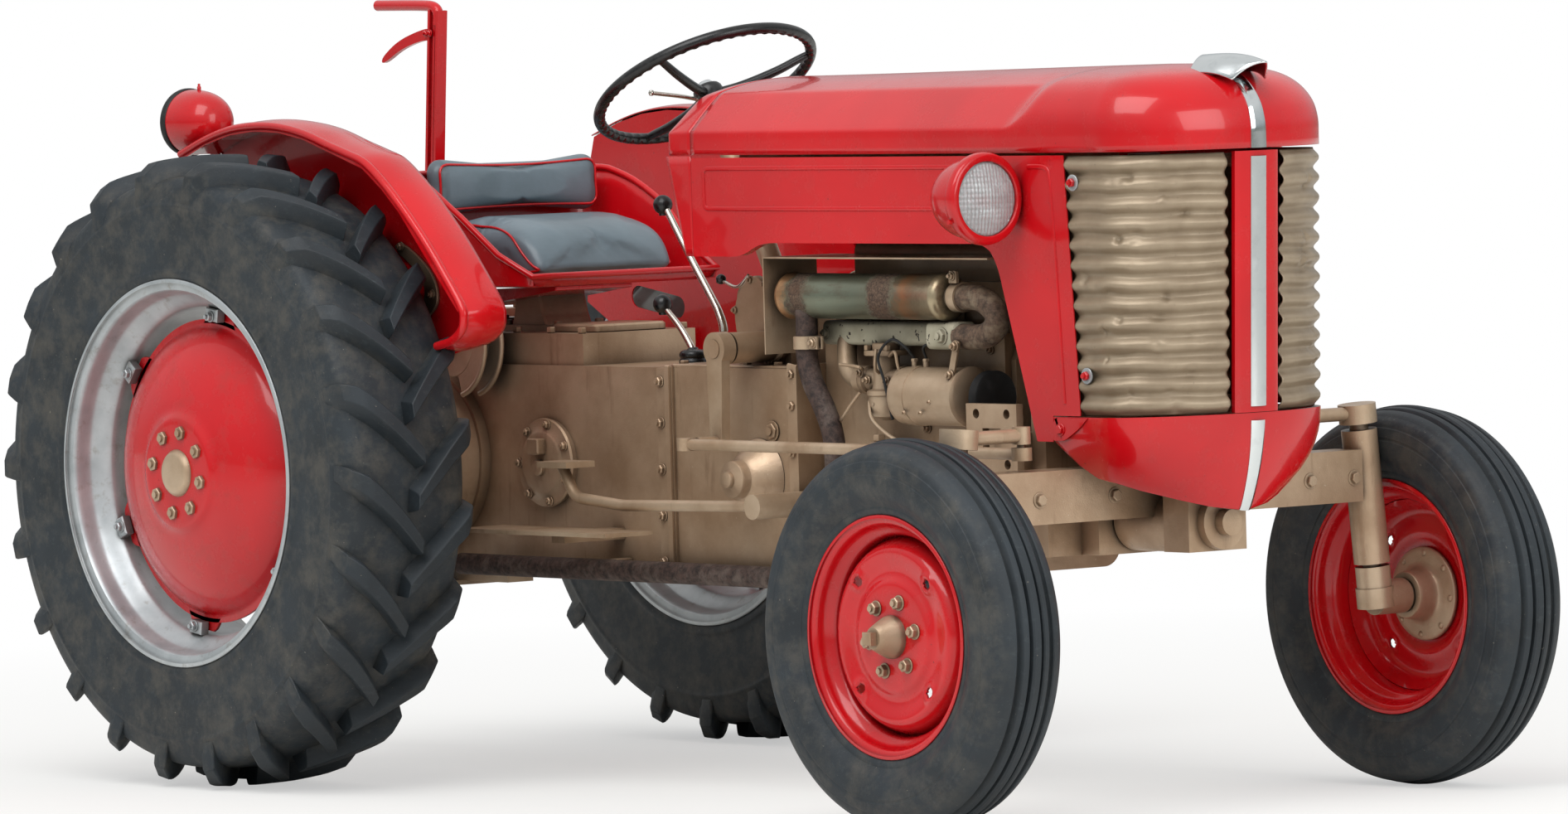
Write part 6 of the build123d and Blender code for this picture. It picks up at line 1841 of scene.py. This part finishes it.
dynamo_piece = build("dynamo_form", dynamo_shapes, bronze_steel, 38)
groove = [(0.1, 1748), (46, 1748), (50, 1750), (40, 1758), (40, 1762), (50, 1770), (46, 1772), (0.1, 1772)]
pulley_shapes = [lathe(groove, dynamo_centre, 64, axis="x")]
field_wire = [(1536, -178, 834), (1530, -196, 856), (1500, -204, 870), (1470, -212, 838)]
field_wire += [(1484, -210, 790), (1500, -206, 720)]
charge_wire = [(1570, -178, 834), (1580, -190, 858), (1640, -190, 866), (1700, -176, 880)]
for line in (field_wire, charge_wire):
    pulley_shapes.append(tube_along(curve_through(line, 7), 2.6, 8, up=sideways))
pulley_hub = [(0.1, 1706), (12, 1706), (12, 1750), (0.1, 1750)]
pulley_shapes.append(lathe(pulley_hub, dynamo_centre, 24, axis="x"))
pulley_piece = build("dynamo_pulley_and_wires", pulley_shapes, black_rubber, 38)
settle(dynamo_piece, "dynamo")
settle(pulley_piece)
paint_node("fan", black_rubber)


# Bolts and covers on the castings
# The housings are bolted end to end through ribbed flanges. Hexagon bolts, a round side cover with its
# square boss, lid clips and drain plugs stand on them.

cover_line = [(0.1, -176), (58, -176), (62, -174), (70, -168), (86, -167), (88, -162), (0.1, -162)]
box_cover = [(932, 930), (980, 984), (1028, 984), (1090, 868), (1080, 822), (1000, 812), (946, 850)]
box_bolts = [(942, 918), (990, 976), (1034, 968), (1062, 918), (1086, 850), (1040, 820), (972, 832)]
box_cover = soften(box_cover, 2, closed=True)
side_shapes = [lathe(cover_line, (368, 0, 615), 64), prism(box_cover, -131, -118, chamfer=3)]
side_shapes += nuts_on_y(ring_places((368, 615), 77, 7, 12), -168, -1, 8, 7)
side_shapes += nuts_on_y([(753, z) for z in (430, 520, 610, 700, 780)], -172, -1, 9, 8)
side_shapes += nuts_on_y([(1185, z) for z in (470, 560, 650, 740, 800)], -190, -1, 9, 8)
side_shapes += nuts_on_y(ring_places((0, 620), 152, 8, 22), -172, -1, 10, 9)
side_shapes += nuts_on_y(box_bolts, -129, -1, 7, 6)

boss_line = [(0.1, -262), (14, -262), (16, -258), (16, -250), (34, -248), (36, -244), (36, -228)]
boss_line += [(42, -224), (62, -196), (80, -172), (0.1, -172)]
canister = [(0.1, 574), (40, 574), (45, 580), (45, 590), (46.5, 592), (46.5, 600), (45, 602), (45, 656)]
canister += [(40, 664), (24, 670), (24, 676), (0.1, 678)]
flange = rounded_outline([(1172, 428), (1200, 428), (1200, 818), (1172, 822)], [4] * 4)
lid = rounded_outline([(776, -166), (1160, -174), (1160, 174), (776, 166)], [10] * 4)
casting_shapes = side_shapes + [
    prism(rounded_box(350, 632, 386, 664, 4), -196, -172, chamfer=2.5),
    prism(disc_outline((368, 606), 16), -186, -172, chamfer=2),
    prism(rounded_box(772, 404, 786, 812, 3), -178, -171, chamfer=2),
    prism(flange, -194, -188, chamfer=2),
    lathe(soften(boss_line, 1), (1060, 0, 600), 48),
    prism(lid, 806, 814, axis="z", chamfer=2),
    prism(rounded_box(300, -90, 450, 90, 18), 866, 884, axis="z", chamfer=4),
    prism(disc_outline((60, 0), 46, 40), 866, 892, axis="z", chamfer=5),
    lathe(soften(canister, 1), (1430, -182, 0), 48, axis="z"),
]
front_bolts = [(x, y) for x in (20, 130, 240, 350, 450) for y in (-126, 126)]
rear_bolts = [(x, y) for x in (-190, -90) for y in (-126, 126)]
casting_shapes += upright_bolts([(x, -140) for x in (790, 880, 985, 1080, 1150)], 9, 809, 820, 1.5)
casting_shapes += upright_bolts(front_bolts, 9, 868, 880, 1.5)
casting_shapes += upright_bolts(rear_bolts, 9, 905, 916, 1.5)
casting_shapes += upright_bolts(ring_places((60, 0), 34, 6, 90), 7, 890, 898)
casting_shapes += upright_bolts([(1430, -182)], 12, 676, 690, 2)
casting_shapes += nuts_on_y([(1104, 690)], -178, -1, 16, 5)
casting_shapes += nuts_on_y([(x, 560) for x in range(1290, 1698, 68)], -163, -1, 6, 5)
head_bolts = [(1698, 560), (1260, 850), (1340, 850), (1500, 700), (1690, 850)]
casting_shapes += nuts_on_y(head_bolts, -121, -1, 8, 7)
castings = build("casting_bolts_right", casting_shapes, bronze_iron, 35)
beam_bolts = []
for y in (-440, -330, -150, 150, 330, 440):
    beam_bolts.append(prism(hexagon((y, 588), 11), front_x + 38, front_x + 48, axis="x", chamfer=1.5))
    beam_bolts.append(prism(disc_outline((y, 588), 15), front_x + 37, front_x + 40, axis="x", chamfer=0.6))
far_castings = build("casting_bolts_left", side_shapes, bronze_iron, 35, flip=True)
beam_piece = build("axle_beam_bolts", beam_bolts, bronze_steel, 35)
for piece in (castings, far_castings, beam_piece):
    settle(piece)


# View transform: Standard, so colours are shown as given

bpy.context.scene.view_settings.view_transform = "Standard"
